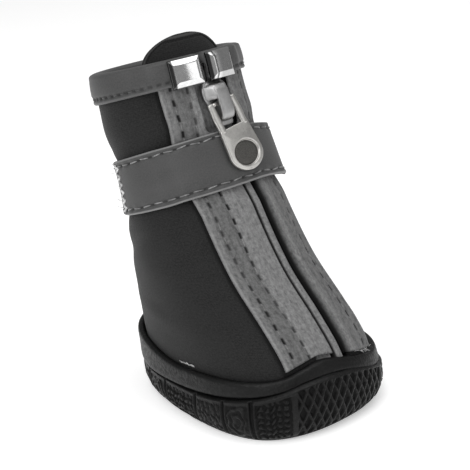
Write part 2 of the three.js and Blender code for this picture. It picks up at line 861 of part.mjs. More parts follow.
const rubber = material(0x1c1c1d, 0.75);
const softshell = material(0x303032, 0.95);
const reflective = material(0x707173, 0.6);
const webbing = material(0x545557, 0.7);
const chrome = material(0xd8d9dc, 0.15, 1);
const nickel = material(0x8d8f91, 0.35, 1);

const shoe = new THREE.Group();
shoe.add(piece('outsole', outsole(), rubber));
shoe.add(piece('insole', insole(), softshell));
shoe.add(piece('upper', upper(), softshell));
shoe.add(piece('tongue', tongue(), softshell));
shoe.add(piece('band_right', band(-1), reflective));
shoe.add(piece('band_left', band(1), reflective));
shoe.add(piece('zip_tape_right', zipTape(-1), reflective));
shoe.add(piece('zip_tape_left', zipTape(1), reflective));
shoe.add(piece('collar_binding', collarBinding(), webbing));
shoe.add(piece('clip_right', clip(-1), chrome));
shoe.add(piece('clip_left', clip(1), chrome));
shoe.add(piece('strap', strap(), webbing));

const zip = zipFrame();
zip.add(piece('slider', slider(), nickel));
const hang = new THREE.Group();
hang.position.set(pinHeight, 0, pinRise);
hang.rotation.set(tabSwing * degree, -tabLean(), 0);
hang.add(piece('pull_tab', pullTab(), nickel));
zip.add(hang);
shoe.add(zip);

export default shoe;
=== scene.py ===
"""Dog shoe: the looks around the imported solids.

Shapes are worked out in millimetres, on the same last as the solids, and become metres when a
mesh is made. X points to the toe, Y to the shoe's left and Z up.
"""

import math

import bmesh
import bpy
import numpy as np
from mathutils import Matrix, Vector


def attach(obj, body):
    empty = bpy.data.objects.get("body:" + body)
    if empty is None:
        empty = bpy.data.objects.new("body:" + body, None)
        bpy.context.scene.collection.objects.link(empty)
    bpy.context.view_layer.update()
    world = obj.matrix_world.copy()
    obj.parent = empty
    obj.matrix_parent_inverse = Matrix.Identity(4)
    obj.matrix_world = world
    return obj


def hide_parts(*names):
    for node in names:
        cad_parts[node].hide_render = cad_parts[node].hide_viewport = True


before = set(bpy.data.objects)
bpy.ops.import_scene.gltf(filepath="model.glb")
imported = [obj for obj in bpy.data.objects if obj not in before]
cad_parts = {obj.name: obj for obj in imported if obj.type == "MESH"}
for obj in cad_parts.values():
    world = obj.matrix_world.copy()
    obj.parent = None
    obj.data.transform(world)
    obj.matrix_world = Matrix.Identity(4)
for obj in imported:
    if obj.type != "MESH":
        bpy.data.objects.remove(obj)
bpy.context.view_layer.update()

# Sole
SOLE_LENGTH = 72.0
SOLE_WIDTH = 51.0
SOLE_EGG = 0.18
SOLE_SQUARENESS = 2.4
RIM_HEIGHT = 15.4
RIM_WALL = 2.1
CUP_WALL = 3.2
FLOOR_THICKNESS = 4.3
TOE_SPRING = 1.5
HEEL_BEVEL = 0.8
TREAD_DEPTH = 1.4
TREAD_GROOVE = 1.1
LUG_DEPTH = 7.2
SIDE_GROOVE = 1.0
SIDE_GROOVE_DEPTH = 0.9
BAND_GROOVE_DEPTH = 1.0
LATTICE_RIDGE = 0.65
LATTICE_DEPTH = 0.75
LATTICE_PITCH = 2.6
LATTICE_TILT = math.radians(24)
LATTICE_EDGE = 0.3

# Upper and cloth
UPPER_HEIGHT = 91.2
UPPER_WALL = 2.0
SLIT_HALF = 5.0
SLIT_BOTTOM = 0.02
GAP = 0.3
BAND_WIDTH = 9.3
BAND_THICKNESS = 0.9
BAND_TOP = 0.985
TAPE_INSET = 0.5
BINDING_HEIGHT = 5.8
BINDING_THICKNESS = 0.8
STRAP_WIDTH = 15.6
STRAP_THICKNESS = 1.1
STRAP_OVERLAP = 42.0
STRAP_PINCH = 1.2
STRAP_STANDOFF = 2.0
STRAP_DROP = 2.2
STRAP_MIDDLE = 0.645
STRAP_START = 118.0
INSOLE_THICKNESS = 1.8
TONGUE_HALF = 19.6
TONGUE_THICKNESS = 1.4
TONGUE_RISE = 6.9
TONGUE_ROUND = 14.0
TONGUE_TURN = math.radians(84)
TONGUE_LENGTH = 62.0
TONGUE_LEAN = 2.4

# Metal
CLIP_WIDTH = 7.9
CLIP_HEIGHT = 7.3
CLIP_OVER = 0.6
CLIP_EDGE = 0.5
CLIP_CROWN = 1.5
CLIP_BEVEL = 1.4
CLIP_SPREAD = 1.8
CLIP_SHIFT = 2.3
SLIDER_RUN = 0.818
SLIDER_LENGTH = 12.5
SLIDER_WIDTH = 8.4
SLIDER_PLATE = 1.5
BRIDGE_LENGTH = 10.0
BRIDGE_HEIGHT = 3.1
BRIDGE_WIDTH = 4.0
BRIDGE_BAR = 1.3
PIN_RADIUS = 0.6
TAB_THICKNESS = 1.2
TAB_ARM = 1.4
TAB_PLAY = 0.9
TAB_WINDOW = 1.8
TAB_SWING = math.radians(8)
TAB_LENGTH = 14.5
RING_RADIUS = 5.6
RING_STRETCH = 0.82
RECESS_RADIUS = 4.1
RECESS_DEPTH = 0.45

# Stitches: pitch, and the rows' places across their cloth
BAND_STITCH = 4.0
BAND_ROWS = {-1: [7.6, 11.4], 1: [11.6]}
BINDING_STITCH = 2.1
BINDING_ROW = -BINDING_HEIGHT + 1.35
STRAP_STITCH = 3.7
STRAP_ROW = STRAP_WIDTH / 2 - 1.75

LAST_LENGTH = SOLE_LENGTH - 2 * CUP_WALL
LAST_WIDTH = SOLE_WIDTH - 2 * CUP_WALL + 1.2
LAST_FLOOR = FLOOR_THICKNESS + GAP
LAST_RISE = UPPER_HEIGHT - LAST_FLOOR
COLLAR = 0.97  # the run where slopes near the collar are measured

# run, front, front_rise, back, back_rise, half, square, egg
LAST = np.array([
    [-0.1, 0.99, 0, -0.99, 0, 0.975, 0.03, 0.13],
    [0, 1, 0.085, -1, 0.085, 0.995, 0.03, 0.12],
    [0.085, 0.925, 0.166, -1.012, 0.16, 1.01, 0.03, 0.1],
    [0.18, 0.744, 0.253, -1.036, 0.236, 1, 0.02, 0.08],
    [0.333, 0.42, 0.389, -1.055, 0.334, 0.98, 0.01, 0.06],
    [0.5, 0.14, 0.565, -1.055, 0.444, 0.96, 0, 0.03],
    [0.66, -0.046, 0.72, -1.11, 0.582, 0.91, 0, 0.02],
    [0.83, -0.212, 0.868, -1.235, 0.748, 0.885, 0, 0],
    [1, -0.312, 1, -1.322, 0.916, 0.88, 0, 0],
])

# degrees from the toe (left is positive), top and groove as shares of RIM_HEIGHT
RIM = np.array([
    [-180, 1.19, 0.5], [-150, 1.16, 0.51], [-122, 1.1, 0.52], [-98, 0.99, 0.6],
    [-75, 1.01, 0.67], [-50, 1.04, 0.79], [-34, 1.08, 0.89], [-22, 1.17, 0.98],
    [-10, 1.23, 1.01], [2, 1.16, 0.96], [14, 1.06, 0.84], [28, 0.96, 0.7],
    [50, 0.93, 0.62], [90, 0.98, 0.59], [122, 1.08, 0.54], [150, 1.16, 0.51],
    [180, 1.19, 0.5],
])
RIM_TOP, RIM_GROOVE = 1, 2  # columns of RIM

# rise, inset as a share of CUP_WALL
SIDE = np.array([[0, 1], [0.11, 0.55], [0.32, 0.18], [0.65, 0], [0.94, 0.08]])


def smooth(value, low, high):
    t = np.clip((np.asarray(value, float) - low) / (high - low), 0, 1)
    return t * t * (3 - 2 * t)


def near(x, half, soft):
    """1 up to half from zero, falling to 0 within soft past it."""
    return 1 - smooth(np.abs(x), half, half + soft)


def cell(x, pitch, start=0.5):
    """Distance from the middle of the cell that x is in. start 0.5 has a middle at zero."""
    return ((x / pitch + start) % 1 - 0.5) * pitch


def squared(x, power):
    """A power that keeps the sign. Below 1 it turns a circle's sine and cosine to a square's."""
    return np.sign(x) * np.abs(x) ** power


def pair(a, b):
    """Two arrays of numbers in the same shape."""
    return np.broadcast_arrays(np.asarray(a, float), np.asarray(b, float))


def read(rows, column, at):
    """One column of a table on a smooth curve through its rows, straight past its ends."""
    at = np.asarray(at, float)
    x = rows[:, 0]
    y = rows[:, column]
    high = np.minimum(np.arange(len(x)) + 1, len(x) - 1)
    low = np.maximum(np.arange(len(x)) - 1, 0)
    slope = (y[high] - y[low]) / (x[high] - x[low])
    i = np.clip(np.searchsorted(x, at) - 1, 0, len(x) - 2)
    h = x[i + 1] - x[i]
    u = np.clip((at - x[i]) / h, 0, 1)
    keep = 2 * u**3 - 3 * u**2 + 1
    bend = (u**3 - 2 * u**2 + u) * slope[i] + (u**3 - u**2) * slope[i + 1]
    past = slope[0] * np.minimum(at - x[0], 0) + slope[-1] * np.maximum(at - x[-1], 0)
    return keep * y[i] + (1 - keep) * y[i + 1] + h * bend + past


def last_point(run, angle):
    """A point of the last. angle is 0 at the front and grows to the shoe's left."""
    run, angle = pair(run, angle)
    front, front_rise, back, back_rise, half, square, egg = (
        read(LAST, column, run) for column in range(1, 8)
    )
    fx, fz = front * LAST_LENGTH / 2, LAST_FLOOR + front_rise * LAST_RISE
    bx, bz = back * LAST_LENGTH / 2, LAST_FLOOR + back_rise * LAST_RISE
    along = (np.cos(angle) - square * np.cos(3 * angle)) / (1 - square)
    across = (np.sin(angle) + square * np.sin(3 * angle)) / (1 - square)
    pinch = STRAP_PINCH * near(run - STRAP_MIDDLE, 0.07, 0.08)
    length = np.hypot(fx - bx, fz - bz)
    reach = along * (length / 2 - pinch) / length
    x = (fx + bx) / 2 + (fx - bx) * reach
    z = (fz + bz) / 2 + (fz - bz) * reach
    y = across * (1 + egg * along) * (half * LAST_WIDTH / 2 - pinch)
    return np.stack([x, y, z], -1)


def unit(v):
    return v / np.maximum(np.linalg.norm(v, axis=-1, keepdims=True), 1e-12)


def last_normal(run, angle):
    run, angle = np.asarray(run), np.asarray(angle)
    rise = last_point(run + 0.01, angle) - last_point(run - 0.01, angle)
    turn = last_point(run, angle + 0.02) - last_point(run, angle - 0.02)
    return unit(np.cross(turn, rise))


def skin(run, angle, offset):
    """A point at a distance outside the last's skin, which is the upper's outside."""
    return last_point(run, angle) + last_normal(run, angle) * np.asarray(offset)[..., None]


def lengths(points):
    """Distance along lines of points, from each line's start."""
    steps = np.linalg.norm(np.diff(points, axis=-2), axis=-1)
    return np.concatenate([np.zeros((*steps.shape[:-1], 1)), np.cumsum(steps, axis=-1)], -1)


# Lengths around each section from its front, for going from arc to angle and back
ARC_RUNS = np.linspace(-0.15, 1.3, 291)
ARC_ANGLES = np.radians(np.arange(0, 181, 2))
ARC_STEP = 0.25
ARCS = lengths(last_point(ARC_RUNS[:, None], ARC_ANGLES[None, :]))
ARC_GRID = np.arange(0, 110, ARC_STEP)
ANGLES = np.array([np.interp(ARC_GRID, row, ARC_ANGLES) for row in ARCS])


def look_up(grid, run, column):
    """Value between the places of a grid that has a row for each of ARC_RUNS."""
    row = (run - ARC_RUNS[0]) / (ARC_RUNS[1] - ARC_RUNS[0])
    i = np.clip(np.floor(row).astype(int), 0, grid.shape[0] - 2)
    j = np.clip(np.floor(column).astype(int), 0, grid.shape[1] - 2)
    a = np.clip(row - i, 0, 1)
    b = np.clip(column - j, 0, 1)
    top = grid[i, j] * (1 - b) + grid[i, j + 1] * b
    low = grid[i + 1, j] * (1 - b) + grid[i + 1, j + 1] * b
    return top * (1 - a) + low * a


def angle_at(run, arc):
    """The angle of a place that is arc millimetres around from the front."""
    run, arc = pair(run, arc)
    return np.sign(arc) * look_up(ANGLES, run, np.abs(arc) / ARC_STEP)


def arc_at(run, angle):
    run, angle = pair(run, angle)
    return np.sign(angle) * look_up(ARCS, run, np.degrees(np.abs(angle)) / 2)


def signed(angle):
    """The same angle between minus and plus half a turn, for angles up to a whole turn."""
    return np.where(angle > math.pi, angle - 2 * math.pi, angle)


FRONT_RUNS = np.linspace(-0.1, 1.25, 541)
FRONT_LENGTH = lengths(last_point(FRONT_RUNS, 0.0))


def front_at(run):
    """Millimetres up the front line, from the bottom of the last."""
    return np.interp(run, FRONT_RUNS, FRONT_LENGTH)


def run_per_mm(run):
    step = last_point(run + 0.01, 0.0) - last_point(run - 0.01, 0.0)
    return 0.02 / float(np.linalg.norm(step))


def run_at_height(angle, height):
    """The run where the last has a height at an angle, found by halving."""
    angle, height = pair(angle, height)
    low = np.full(angle.shape, -0.3)
    high = np.full(angle.shape, 1.0)
    for _ in range(30):
        middle = (low + high) / 2
        under = last_point(middle, angle)[..., 2] < height
        low = np.where(under, middle, low)
        high = np.where(under, high, middle)
    return (low + high) / 2


def rim(column, angle):
    """Height of the rim's top or of the groove under it."""
    turn = np.degrees(np.arctan2(np.sin(angle), np.cos(angle)))
    return RIM_HEIGHT * read(RIM, column, turn)


def clear_of_rim(arc):
    """The run where cloth at this arc comes out of the rim."""
    run = np.full(np.shape(arc), 0.1)
    for _ in range(6):
        angle = angle_at(run, arc)
        run = run_at_height(angle, rim(RIM_TOP, angle) + 2 * GAP)
    return run


def over_bands(arc):
    """Cloth that passes over the bands keeps off the skin there."""
    edge = SLIT_HALF + GAP + BAND_WIDTH
    return GAP + (BAND_THICKNESS + GAP) * near(arc, edge + 0.6, 5.4)


def wobble(x, y, seed):
    """Smooth irregularity between -1 and 1 with no repeat, for cloth that isn't quite even."""
    draw = np.random.default_rng(seed)
    count = 7
    total = 0
    for _ in range(count):
        fx, fy = draw.uniform(-1, 1, 2)
        total = total + np.sin(fx * x + fy * y + draw.uniform(0, 6.28))
    return total / count


# Meshes

METRES = 0.001  # for a length in millimetres


def add(name, data):
    """Puts a mesh, a light or a camera in the scene."""
    made = bpy.data.objects.new(name, data)
    bpy.context.scene.collection.objects.link(made)
    return made


def make(name, verts, faces, paint, node=None, uv=None, marks=None, body="shoe"):
    """A piece of the shoe from millimetres."""
    mesh = bpy.data.meshes.new(name)
    mesh.from_pydata((np.asarray(verts) * METRES).tolist(), [], faces)
    mesh.validate()
    if uv is not None:
        corners = np.empty(len(mesh.loops), int)
        mesh.loops.foreach_get("vertex_index", corners)
        layer = mesh.uv_layers.new(name="cloth")
        layer.data.foreach_set("uv", np.asarray(uv, np.float32)[corners].ravel())
    for label, values in (marks or {}).items():
        layer = mesh.attributes.new(label, "FLOAT", "POINT")
        layer.data.foreach_set("value", np.asarray(values, np.float32).ravel())
    mesh.polygons.foreach_set("use_smooth", [True] * len(mesh.polygons))
    mesh.materials.append(paint.material)
    solid = bmesh.new()
    solid.from_mesh(mesh)
    if solid.calc_volume(signed=True) < 0:
        mesh.flip_normals()
    solid.free()
    piece = add(name, mesh)
    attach(piece, body)
    if node:
        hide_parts(node)


def grid_faces(index, wrap=False):
    """Quads over a grid of vertex numbers. wrap joins its last column to its first."""
    if wrap:
        index = np.concatenate([index, index[:, :1]], axis=1)
    return np.stack(
        [index[:-1, :-1], index[:-1, 1:], index[1:, 1:], index[1:, :-1]], -1
    ).reshape(-1, 4).tolist()


def loft(grid):
    """Closed body through rings of points, with a flat lid at both ends."""
    grid = np.asarray(grid)
    index = np.arange(grid.shape[0] * grid.shape[1]).reshape(grid.shape[:2])
    faces = grid_faces(index, wrap=True) + [index[0, ::-1].tolist(), index[-1].tolist()]
    return grid.reshape(-1, 3), faces


def joined(parts):
    """One mesh from several pairs of points and faces."""
    verts, faces, start = [], [], 0
    for points, polygons in parts:
        verts.append(points)
        faces += [[start + v for v in face] for face in polygons]
        start += len(points)
    return np.concatenate(verts), faces


def sheet(name, outer, inner, paint, node=None, place=None, marks=None, stride=4):
    """Closed piece between two grids of points. The inner grid is thinned out by stride.

    place is the pair of cloth coordinates and marks the painted values, both on the outer grid.
    """
    def both(values):
        parts = (values, values[::stride, ::stride])
        return np.concatenate([part.reshape(-1, *values.shape[2:]) for part in parts])

    rows, columns = outer.shape[:2]
    top = np.arange(rows * columns).reshape(rows, columns)
    thin = top[::stride, ::stride]
    low = rows * columns + np.arange(thin.size).reshape(thin.shape)
    faces = grid_faces(top) + [face[::-1] for face in grid_faces(low)]
    edges = [
        (top[0], low[0], False),
        (top[-1], low[-1], True),
        (top[:, 0], low[:, 0], True),
        (top[:, -1], low[:, -1], False),
    ]
    half = stride // 2
    for fine, coarse, turned in edges:
        for k in range(len(coarse) - 1):
            part = fine[k * stride:(k + 1) * stride + 1].tolist()
            ends = coarse[k:k + 2].tolist()
            strip = [[part[j + 1], part[j], ends[j >= half]] for j in range(stride)]
            strip.append([part[half], *ends])
            faces += [face[::-1] for face in strip] if turned else strip
    verts = np.concatenate([outer.reshape(-1, 3), inner[::stride, ::stride].reshape(-1, 3)])
    uv = None if place is None else both(np.stack(place, -1))
    marks = {label: both(values) for label, values in (marks or {}).items()}
    make(name, verts, faces, paint, node, uv, marks)


def spaced(length, step, stride=4):
    """Even places from 0 to 1 about step apart, in a count that suits sheet()."""
    return np.linspace(0, 1, max(1, round(length / step / stride)) * stride + 1)


def crossed(rows, columns):
    """Two grids: one value for each row, and one for each column."""
    return np.meshgrid(rows, columns, indexing="ij")


def rolled(distance, half, radius):
    """Half the thickness of a sheet at a distance from its edge, with a round edge."""
    t = np.clip(distance / radius, 0, 1)
    return half * np.sqrt(np.maximum(1 - (1 - t) ** 2, 0.0016))


def uneven(place, pitch, seed):
    """One strength for each stitch, between 0.68 and 1."""
    return 0.84 + 0.16 * np.sin(np.round(place / pitch) * 12.9898 + seed)


# place along a thread, size and lift of its rings
THREAD_RINGS = (
    (-1, 0.45, -1.0), (-0.72, 0.85, -0.1), (-0.25, 1, 0.35),
    (0.25, 1, 0.35), (0.72, 0.85, -0.1), (1, 0.45, -1.0),
)


def capsules(points, along, out, length, radius):
    """Joined mesh of short threads, arched out of the cloth, their ends sunk into it."""
    along = unit(along)
    out = unit(out - along * np.sum(out * along, -1, keepdims=True))
    across = np.cross(along, out)
    turns = (np.arange(6) * math.pi / 3)[None, :, None]
    length = np.broadcast_to(np.asarray(length, float), (len(points),))[:, None]
    rings = []
    for place, size, lift in THREAD_RINGS:
        middle = points + along * place * length / 2 + out * lift * radius
        around = out[:, None] * np.cos(turns) + across[:, None] * np.sin(turns)
        rings.append(middle[:, None] + around * size * radius)
    return joined([loft(thread) for thread in np.stack(rings, 1)])


def tube(path, radius, sides=5):
    """Closed round tube along a line of points."""
    along = unit(np.gradient(path, axis=0))
    side = unit(np.cross(along, np.array([0.31, 0.17, 0.93])))
    up = np.cross(side, along)
    turns = (np.arange(sides) * 2 * math.pi / sides)[None, :, None]
    around = side[:, None] * np.cos(turns) + up[:, None] * np.sin(turns)
    return loft(path[:, None] + radius * around)


# Materials

def grey(level, tint=0.0):
    """Linear colour from an sRGB level of 0 to 255. tint above 0 is bluer."""
    linear = (level / 255 / 12.92) if level < 11 else ((level / 255 + 0.055) / 1.055) ** 2.4
    return (linear * (1 - 0.5 * tint), linear, linear * (1 + tint), 1.0)


class Paint:
    """A node material with short calls for what the pieces here need."""

    def __init__(self, name, slot=None, **sockets):
        self.slot = slot
        self.material = bpy.data.materials.new(name)
        self.material.use_nodes = True
        self.tree = self.material.node_tree
        self.shader = self.tree.nodes["Principled BSDF"]
        self.put(**sockets)

    def fill(self, node, inputs):
        for key, value in inputs.items():
            if isinstance(value, bpy.types.NodeSocket):
                self.tree.links.new(value, node.inputs[key])
            else:
                node.inputs[key].default_value = value

    def put(self, **sockets):
        """Values or links for the shader's own sockets."""
        self.fill(self.shader, {key.replace("_", " "): value for key, value in sockets.items()})
        return self

    def node(self, kind, inputs=None, output=0, **settings):
        made = self.tree.nodes.new(kind)
        for key, value in settings.items():
            setattr(made, key, value)
        self.fill(made, inputs or {})
        return made.outputs[output]

    def cloth(self):
        """Millimetres along and across the cloth."""
        return self.node("ShaderNodeUVMap", uv_map="cloth")

    def place(self):
        """Millimetres in the shoe's own frame."""
        where = self.node("ShaderNodeTexCoord", output="Object")
        scale = [1 / METRES] * 3
        return self.node("ShaderNodeVectorMath", {0: where, 1: scale}, operation="MULTIPLY")

    def stretch(self, vector, scale, turn=0.0):
        inputs = {"Vector": vector, "Scale": scale, "Rotation": (0, 0, turn)}
        return self.node("ShaderNodeMapping", inputs)

    def noise(self, vector, scale, detail=3.0, rough=0.6):
        inputs = {"Vector": vector, "Scale": scale, "Detail": detail, "Roughness": rough}
        return self.node("ShaderNodeTexNoise", inputs)

    def weave(self, along, across, bend=(0.0, 0.0)):
        """Waves in both directions of the cloth, multiplied."""
        waves = []
        for direction, scale, distortion in zip("XY", (along, across), bend):
            inputs = {"Vector": self.cloth(), "Scale": scale, "Distortion": distortion, "Detail": 1.0}
            waves.append(self.node("ShaderNodeTexWave", inputs, 1, bands_direction=direction))
        return self.math("MULTIPLY", *waves)

    def mark(self, label):
        return self.node("ShaderNodeAttribute", output="Fac", attribute_name=label)

    def math(self, operation, a, b=0.0):
        return self.node("ShaderNodeMath", {0: a, 1: b}, operation=operation)

    def total(self, a, share_a, b, share_b):
        parts = self.math("MULTIPLY", a, share_a), self.math("MULTIPLY", b, share_b)
        return self.math("ADD", *parts)

    def ramp(self, value, low, high, to_low=0.0, to_high=1.0):
        inputs = {"From Min": low, "From Max": high, "To Min": to_low, "To Max": to_high}
        return self.node("ShaderNodeMapRange", {"Value": value, **inputs})

    def mix(self, share, a, b):
        """Mix of two colours. A number stands for a grey level."""
        a, b = (grey(v) if isinstance(v, (int, float)) else v for v in (a, b))
        return self.node("ShaderNodeMix", {0: share, 6: a, 7: b}, 2, data_type="RGBA")

    def coats(self, colour, **levels):
        """Paints each mark's grey level over a colour, in the order given."""
        for label, level in levels.items():
            colour = self.mix(self.mark(label), colour, level)
        return colour

    def bump(self, height, distance, strength):
        inputs = {"Height": height, "Distance": distance * METRES, "Strength": strength}
        return self.node("ShaderNodeBump", inputs)


def softshell_paint():
    """Charcoal softshell: a fine brushed knit with a soft mottle."""
    p = Paint("softshell", "softshell", Roughness=0.92, Sheen_Weight=0.12, Sheen_Roughness=0.5,
              Specular_IOR_Level=0.25)
    uv = p.cloth()
    knit = p.weave(0.74, 0.66, (1.8, 2.2))
    fuzz = p.noise(uv, 1.9, 3.0, 0.7)
    mottle = p.noise(uv, 0.16, 3.0, 0.55)
    colour = p.mix(p.ramp(p.total(knit, 0.14, fuzz, 0.86), 0.34, 0.62), 18, 40)
    colour = p.mix(p.ramp(mottle, 0.35, 0.7, 0, 0.3), colour, 40)
    height = p.total(knit, 0.25, fuzz, 0.8)
    # painted shade: a mark darkens the softshell in a thin line beside the bands' outer edges
    return p.put(Base_Color=p.coats(colour, deep=8, pale=74), Normal=p.bump(height, 0.14, 0.7))


def lining_paint():
    p = Paint("lining", "softshell", Roughness=0.95, Sheen_Weight=0.2)
    mesh = p.weave(0.33, 0.33)
    return p.put(Base_Color=p.mix(mesh, 18, 38), Normal=p.bump(mesh, 0.3, 0.6))


def reflective_paint():
    """Grey reflective cloth: a tight weave under a coat of fine beads."""
    p = Paint("reflective", "reflective", Roughness=0.62, Sheen_Weight=0.05, Metallic=0.1)
    uv = p.cloth()
    weave = p.weave(0.9, 0.75, (0.8, 0.8))
    grain = p.noise(uv, 0.95, 3.0, 0.8)
    brushed = p.noise(p.stretch(uv, (1.3, 0.4, 1), 0.7), 1.0, 3.0, 0.7)
    streak = p.noise(p.stretch(uv, (0.9, 0.09, 1)), 1.0)
    shade = p.ramp(p.total(grain, 0.55, brushed, 0.45), 0.38, 0.65)
    # painted light and shade: a mark mixes a shaded and a lit copy of the cloth's colour across the
    # bands and strips
    colour = p.mix(p.mark("light"), p.mix(shade, 54, 96), p.mix(shade, 88, 138))
    colour = p.mix(p.ramp(streak, 0.4, 0.7, 0, 0.25), colour, 124)
    # painted highlight: a paler line along the bands' rolled outer edges
    colour = p.coats(colour, pale=160)
    # painted shade: darkens the cloth in the valleys beside the zip and along the strips' edges, with
    # less shine there
    colour = p.mix(p.math("MULTIPLY", p.mark("deep"), 0.9), colour, 22)
    gloss = p.ramp(p.math("MAXIMUM", p.mark("deep"), p.mark("hole")), 0, 0.8, 0.35, 0.03)
    # painted shade in the stitch holes and at the bottom of the valley beside the left strip
    return p.put(Base_Color=p.coats(colour, hole=10), Specular_IOR_Level=gloss,
                 Normal=p.bump(p.total(weave, 0.4, grain, 1.0), 0.12, 0.6))


def webbing_paint():
    """Dark grey coated cloth of the strap and the binding, paler where it is cut."""
    p = Paint("webbing", "webbing", Roughness=0.6, Sheen_Weight=0.1, Metallic=0.1)
    uv = p.cloth()
    grain = p.noise(uv, 2.3, 4.0, 0.72)
    cloud = p.noise(p.stretch(uv, (0.05, 0.16, 1)), 1.0, 3.0, 0.55)
    shade = p.total(grain, 0.85, p.weave(1.1, 1.1, (0.5, 0.5)), 0.15)
    colour = p.mix(p.ramp(shade, 0.3, 0.66), 48, 71)
    colour = p.mix(p.ramp(cloud, 0.35, 0.7, 0, 0.45), colour, 74)
    # painted shade in the stitch dents; the paler cut edges are the cloth's own
    return p.put(Base_Color=p.coats(colour, hole=20, pale=130), Normal=p.bump(shade, 0.06, 0.5))


def thread_paint(name, slot, level):
    p = Paint(name, slot, Roughness=0.7, Sheen_Weight=0.2)
    twist = p.ramp(p.noise(p.place(), 2.0, 2.0), 0.3, 0.7, 0.5, 1.0)
    worn = p.ramp(p.noise(p.place(), 0.45, 2.0), 0.35, 0.65)
    return p.put(Base_Color=p.mix(p.math("MULTIPLY", twist, worn), level * 0.62, level * 1.1))


def rubber_paint():
    """Moulded black rubber: fine grain, paler dust in places."""
    p = Paint("rubber", "rubber")
    where = p.place()
    grain = p.noise(where, 5.0)
    dust = p.noise(where, 0.22, 4.0)
    colour = p.mix(p.ramp(grain, 0.35, 0.65), 3, 8)
    colour = p.mix(p.ramp(dust, 0.45, 0.75, 0, 0.35), colour, 18)
    height = p.total(grain, 0.3, p.noise(where, 1.2, 2.0, 0.5), 1.0)
    # painted shade: the sole's grooves and cells are darkened and lose their shine
    return p.put(Base_Color=p.coats(colour, deep=2), Normal=p.bump(height, 0.2, 0.7),
                 Specular_IOR_Level=p.ramp(p.mark("deep"), 0, 0.7, 0.24, 0.02),
                 Roughness=p.ramp(p.noise(where, 1.4, 2.0, 0.5), 0.3, 0.7, 0.34, 0.58))


def metal_paint(name, slot, level, rough, scratch, tint=0.0):
    p = Paint(name, slot, Metallic=1.0)
    where = p.place()
    fine = p.noise(p.stretch(where, (1, 1, 0.15)), 6.0, 2.0)
    cast = p.ramp(p.noise(where, 1.1), 0.3, 0.7)
    # painted reflection: dark streaks on the clips stand for darker surroundings they mirror
    colour = p.coats(p.mix(cast, grey(level * 0.93, tint), grey(level, tint)), deep=26)
    return p.put(Base_Color=colour, Roughness=p.ramp(fine, 0.3, 0.7, rough * 0.8, rough * 1.3),
                 Normal=p.bump(fine, scratch, 0.4))


def recess_paint():
    p = Paint("dark_recess", "nickel", Metallic=0.6, Roughness=0.5)
    fine = p.noise(p.place(), 4.0)
    colour = p.mix(p.ramp(fine, 0.3, 0.7), grey(56, -0.07), grey(92, -0.07))
    return p.put(Base_Color=colour, Normal=p.bump(fine, 0.08, 0.6))


SOFTSHELL = softshell_paint()
LINING = lining_paint()
REFLECTIVE = reflective_paint()
WEBBING = webbing_paint()
PALE_THREAD = thread_paint("pale_thread", "webbing", 136)
GREY_THREAD = thread_paint("grey_thread", "webbing", 84)
BAND_THREAD = thread_paint("band_thread", "reflective", 116)
FIBRE = thread_paint("cut_fibre", "webbing", 225)
RUBBER = rubber_paint()
CHROME = metal_paint("chrome", "chrome", 232, 0.12, 0.02)
NICKEL = metal_paint("nickel", "nickel", 168, 0.42, 0.06)
TAB_NICKEL = metal_paint("tab_nickel", "nickel", 200, 0.34, 0.04, -0.04)
RECESS = recess_paint()


# Upper: the outside with its creases, and a lining

# from run, arc to run, arc; half width in mm; depth in mm, where a trough is negative
CREASES = np.array([
    [0.5, -34, 0.4, -56, 3.4, -0.5],
    [0.545, -20, 0.5, -44, 2.8, -0.35],
    [0.44, -17, 0.36, -40, 3.6, 0.3],
    [0.3, -18, 0.22, -46, 5.0, -0.3],
    [0.16, -24, 0.2, -60, 4.0, 0.25],
    [0.56, -52, 0.44, -66, 3.0, -0.5],
    [0.74, -20, 0.79, -46, 3.0, -0.35],
    [0.86, -18, 0.82, -40, 3.4, 0.22],
    [0.5, 30, 0.42, 54, 3.4, -0.45],
    [0.55, 20, 0.48, 42, 2.8, -0.3],
    [0.3, 18, 0.24, 44, 5.0, -0.25],
    [0.56, 54, 0.44, 66, 3.0, -0.45],
    [0.76, 22, 0.8, 48, 3.0, -0.3],
])
BAND_EDGE = SLIT_HALF + GAP
BAND_OUT = BAND_EDGE + BAND_WIDTH


def upper_creases(run, arc):
    """Soft troughs and ridges. They fade out under the overlays, which lie on the skin."""
    up = front_at(run)
    total = 0.1 * wobble(up * 0.16, arc * 0.13, 5)
    for run_a, arc_a, run_b, arc_b, half, depth in CREASES:
        rise, turn = front_at(run_b) - front_at(run_a), arc_b - arc_a
        x, y = up - front_at(run_a), arc - arc_a
        t = np.clip((x * rise + y * turn) / (rise**2 + turn**2), -0.4, 1.4)
        away = np.hypot(x - t * rise, y - t * turn)
        total = total + depth * np.exp(-((away / half) ** 2)) * near(t - 0.5, 0.25, 0.6)
    free = (1 - smooth(run, 0.93, 0.95)) * smooth(np.abs(run - STRAP_MIDDLE), 0.09, 0.13)
    over = SLIT_HALF + BAND_WIDTH
    above = smooth(run, 0.1, 0.16)
    free = free * smooth(np.abs(arc), over + 1.5, over + 4.5) * above
    return np.where(total > 0, total * free, total * np.maximum(free, 0.25 * above))


def around_foot(up, turn, slit):
    """Run, angle and arc on a wall around the foot that is open at the slit."""
    run, turn = crossed(up, turn)
    start = angle_at(run, slit)
    angle = start + turn * (2 * math.pi - 2 * start)
    return run, angle, arc_at(run, signed(angle))


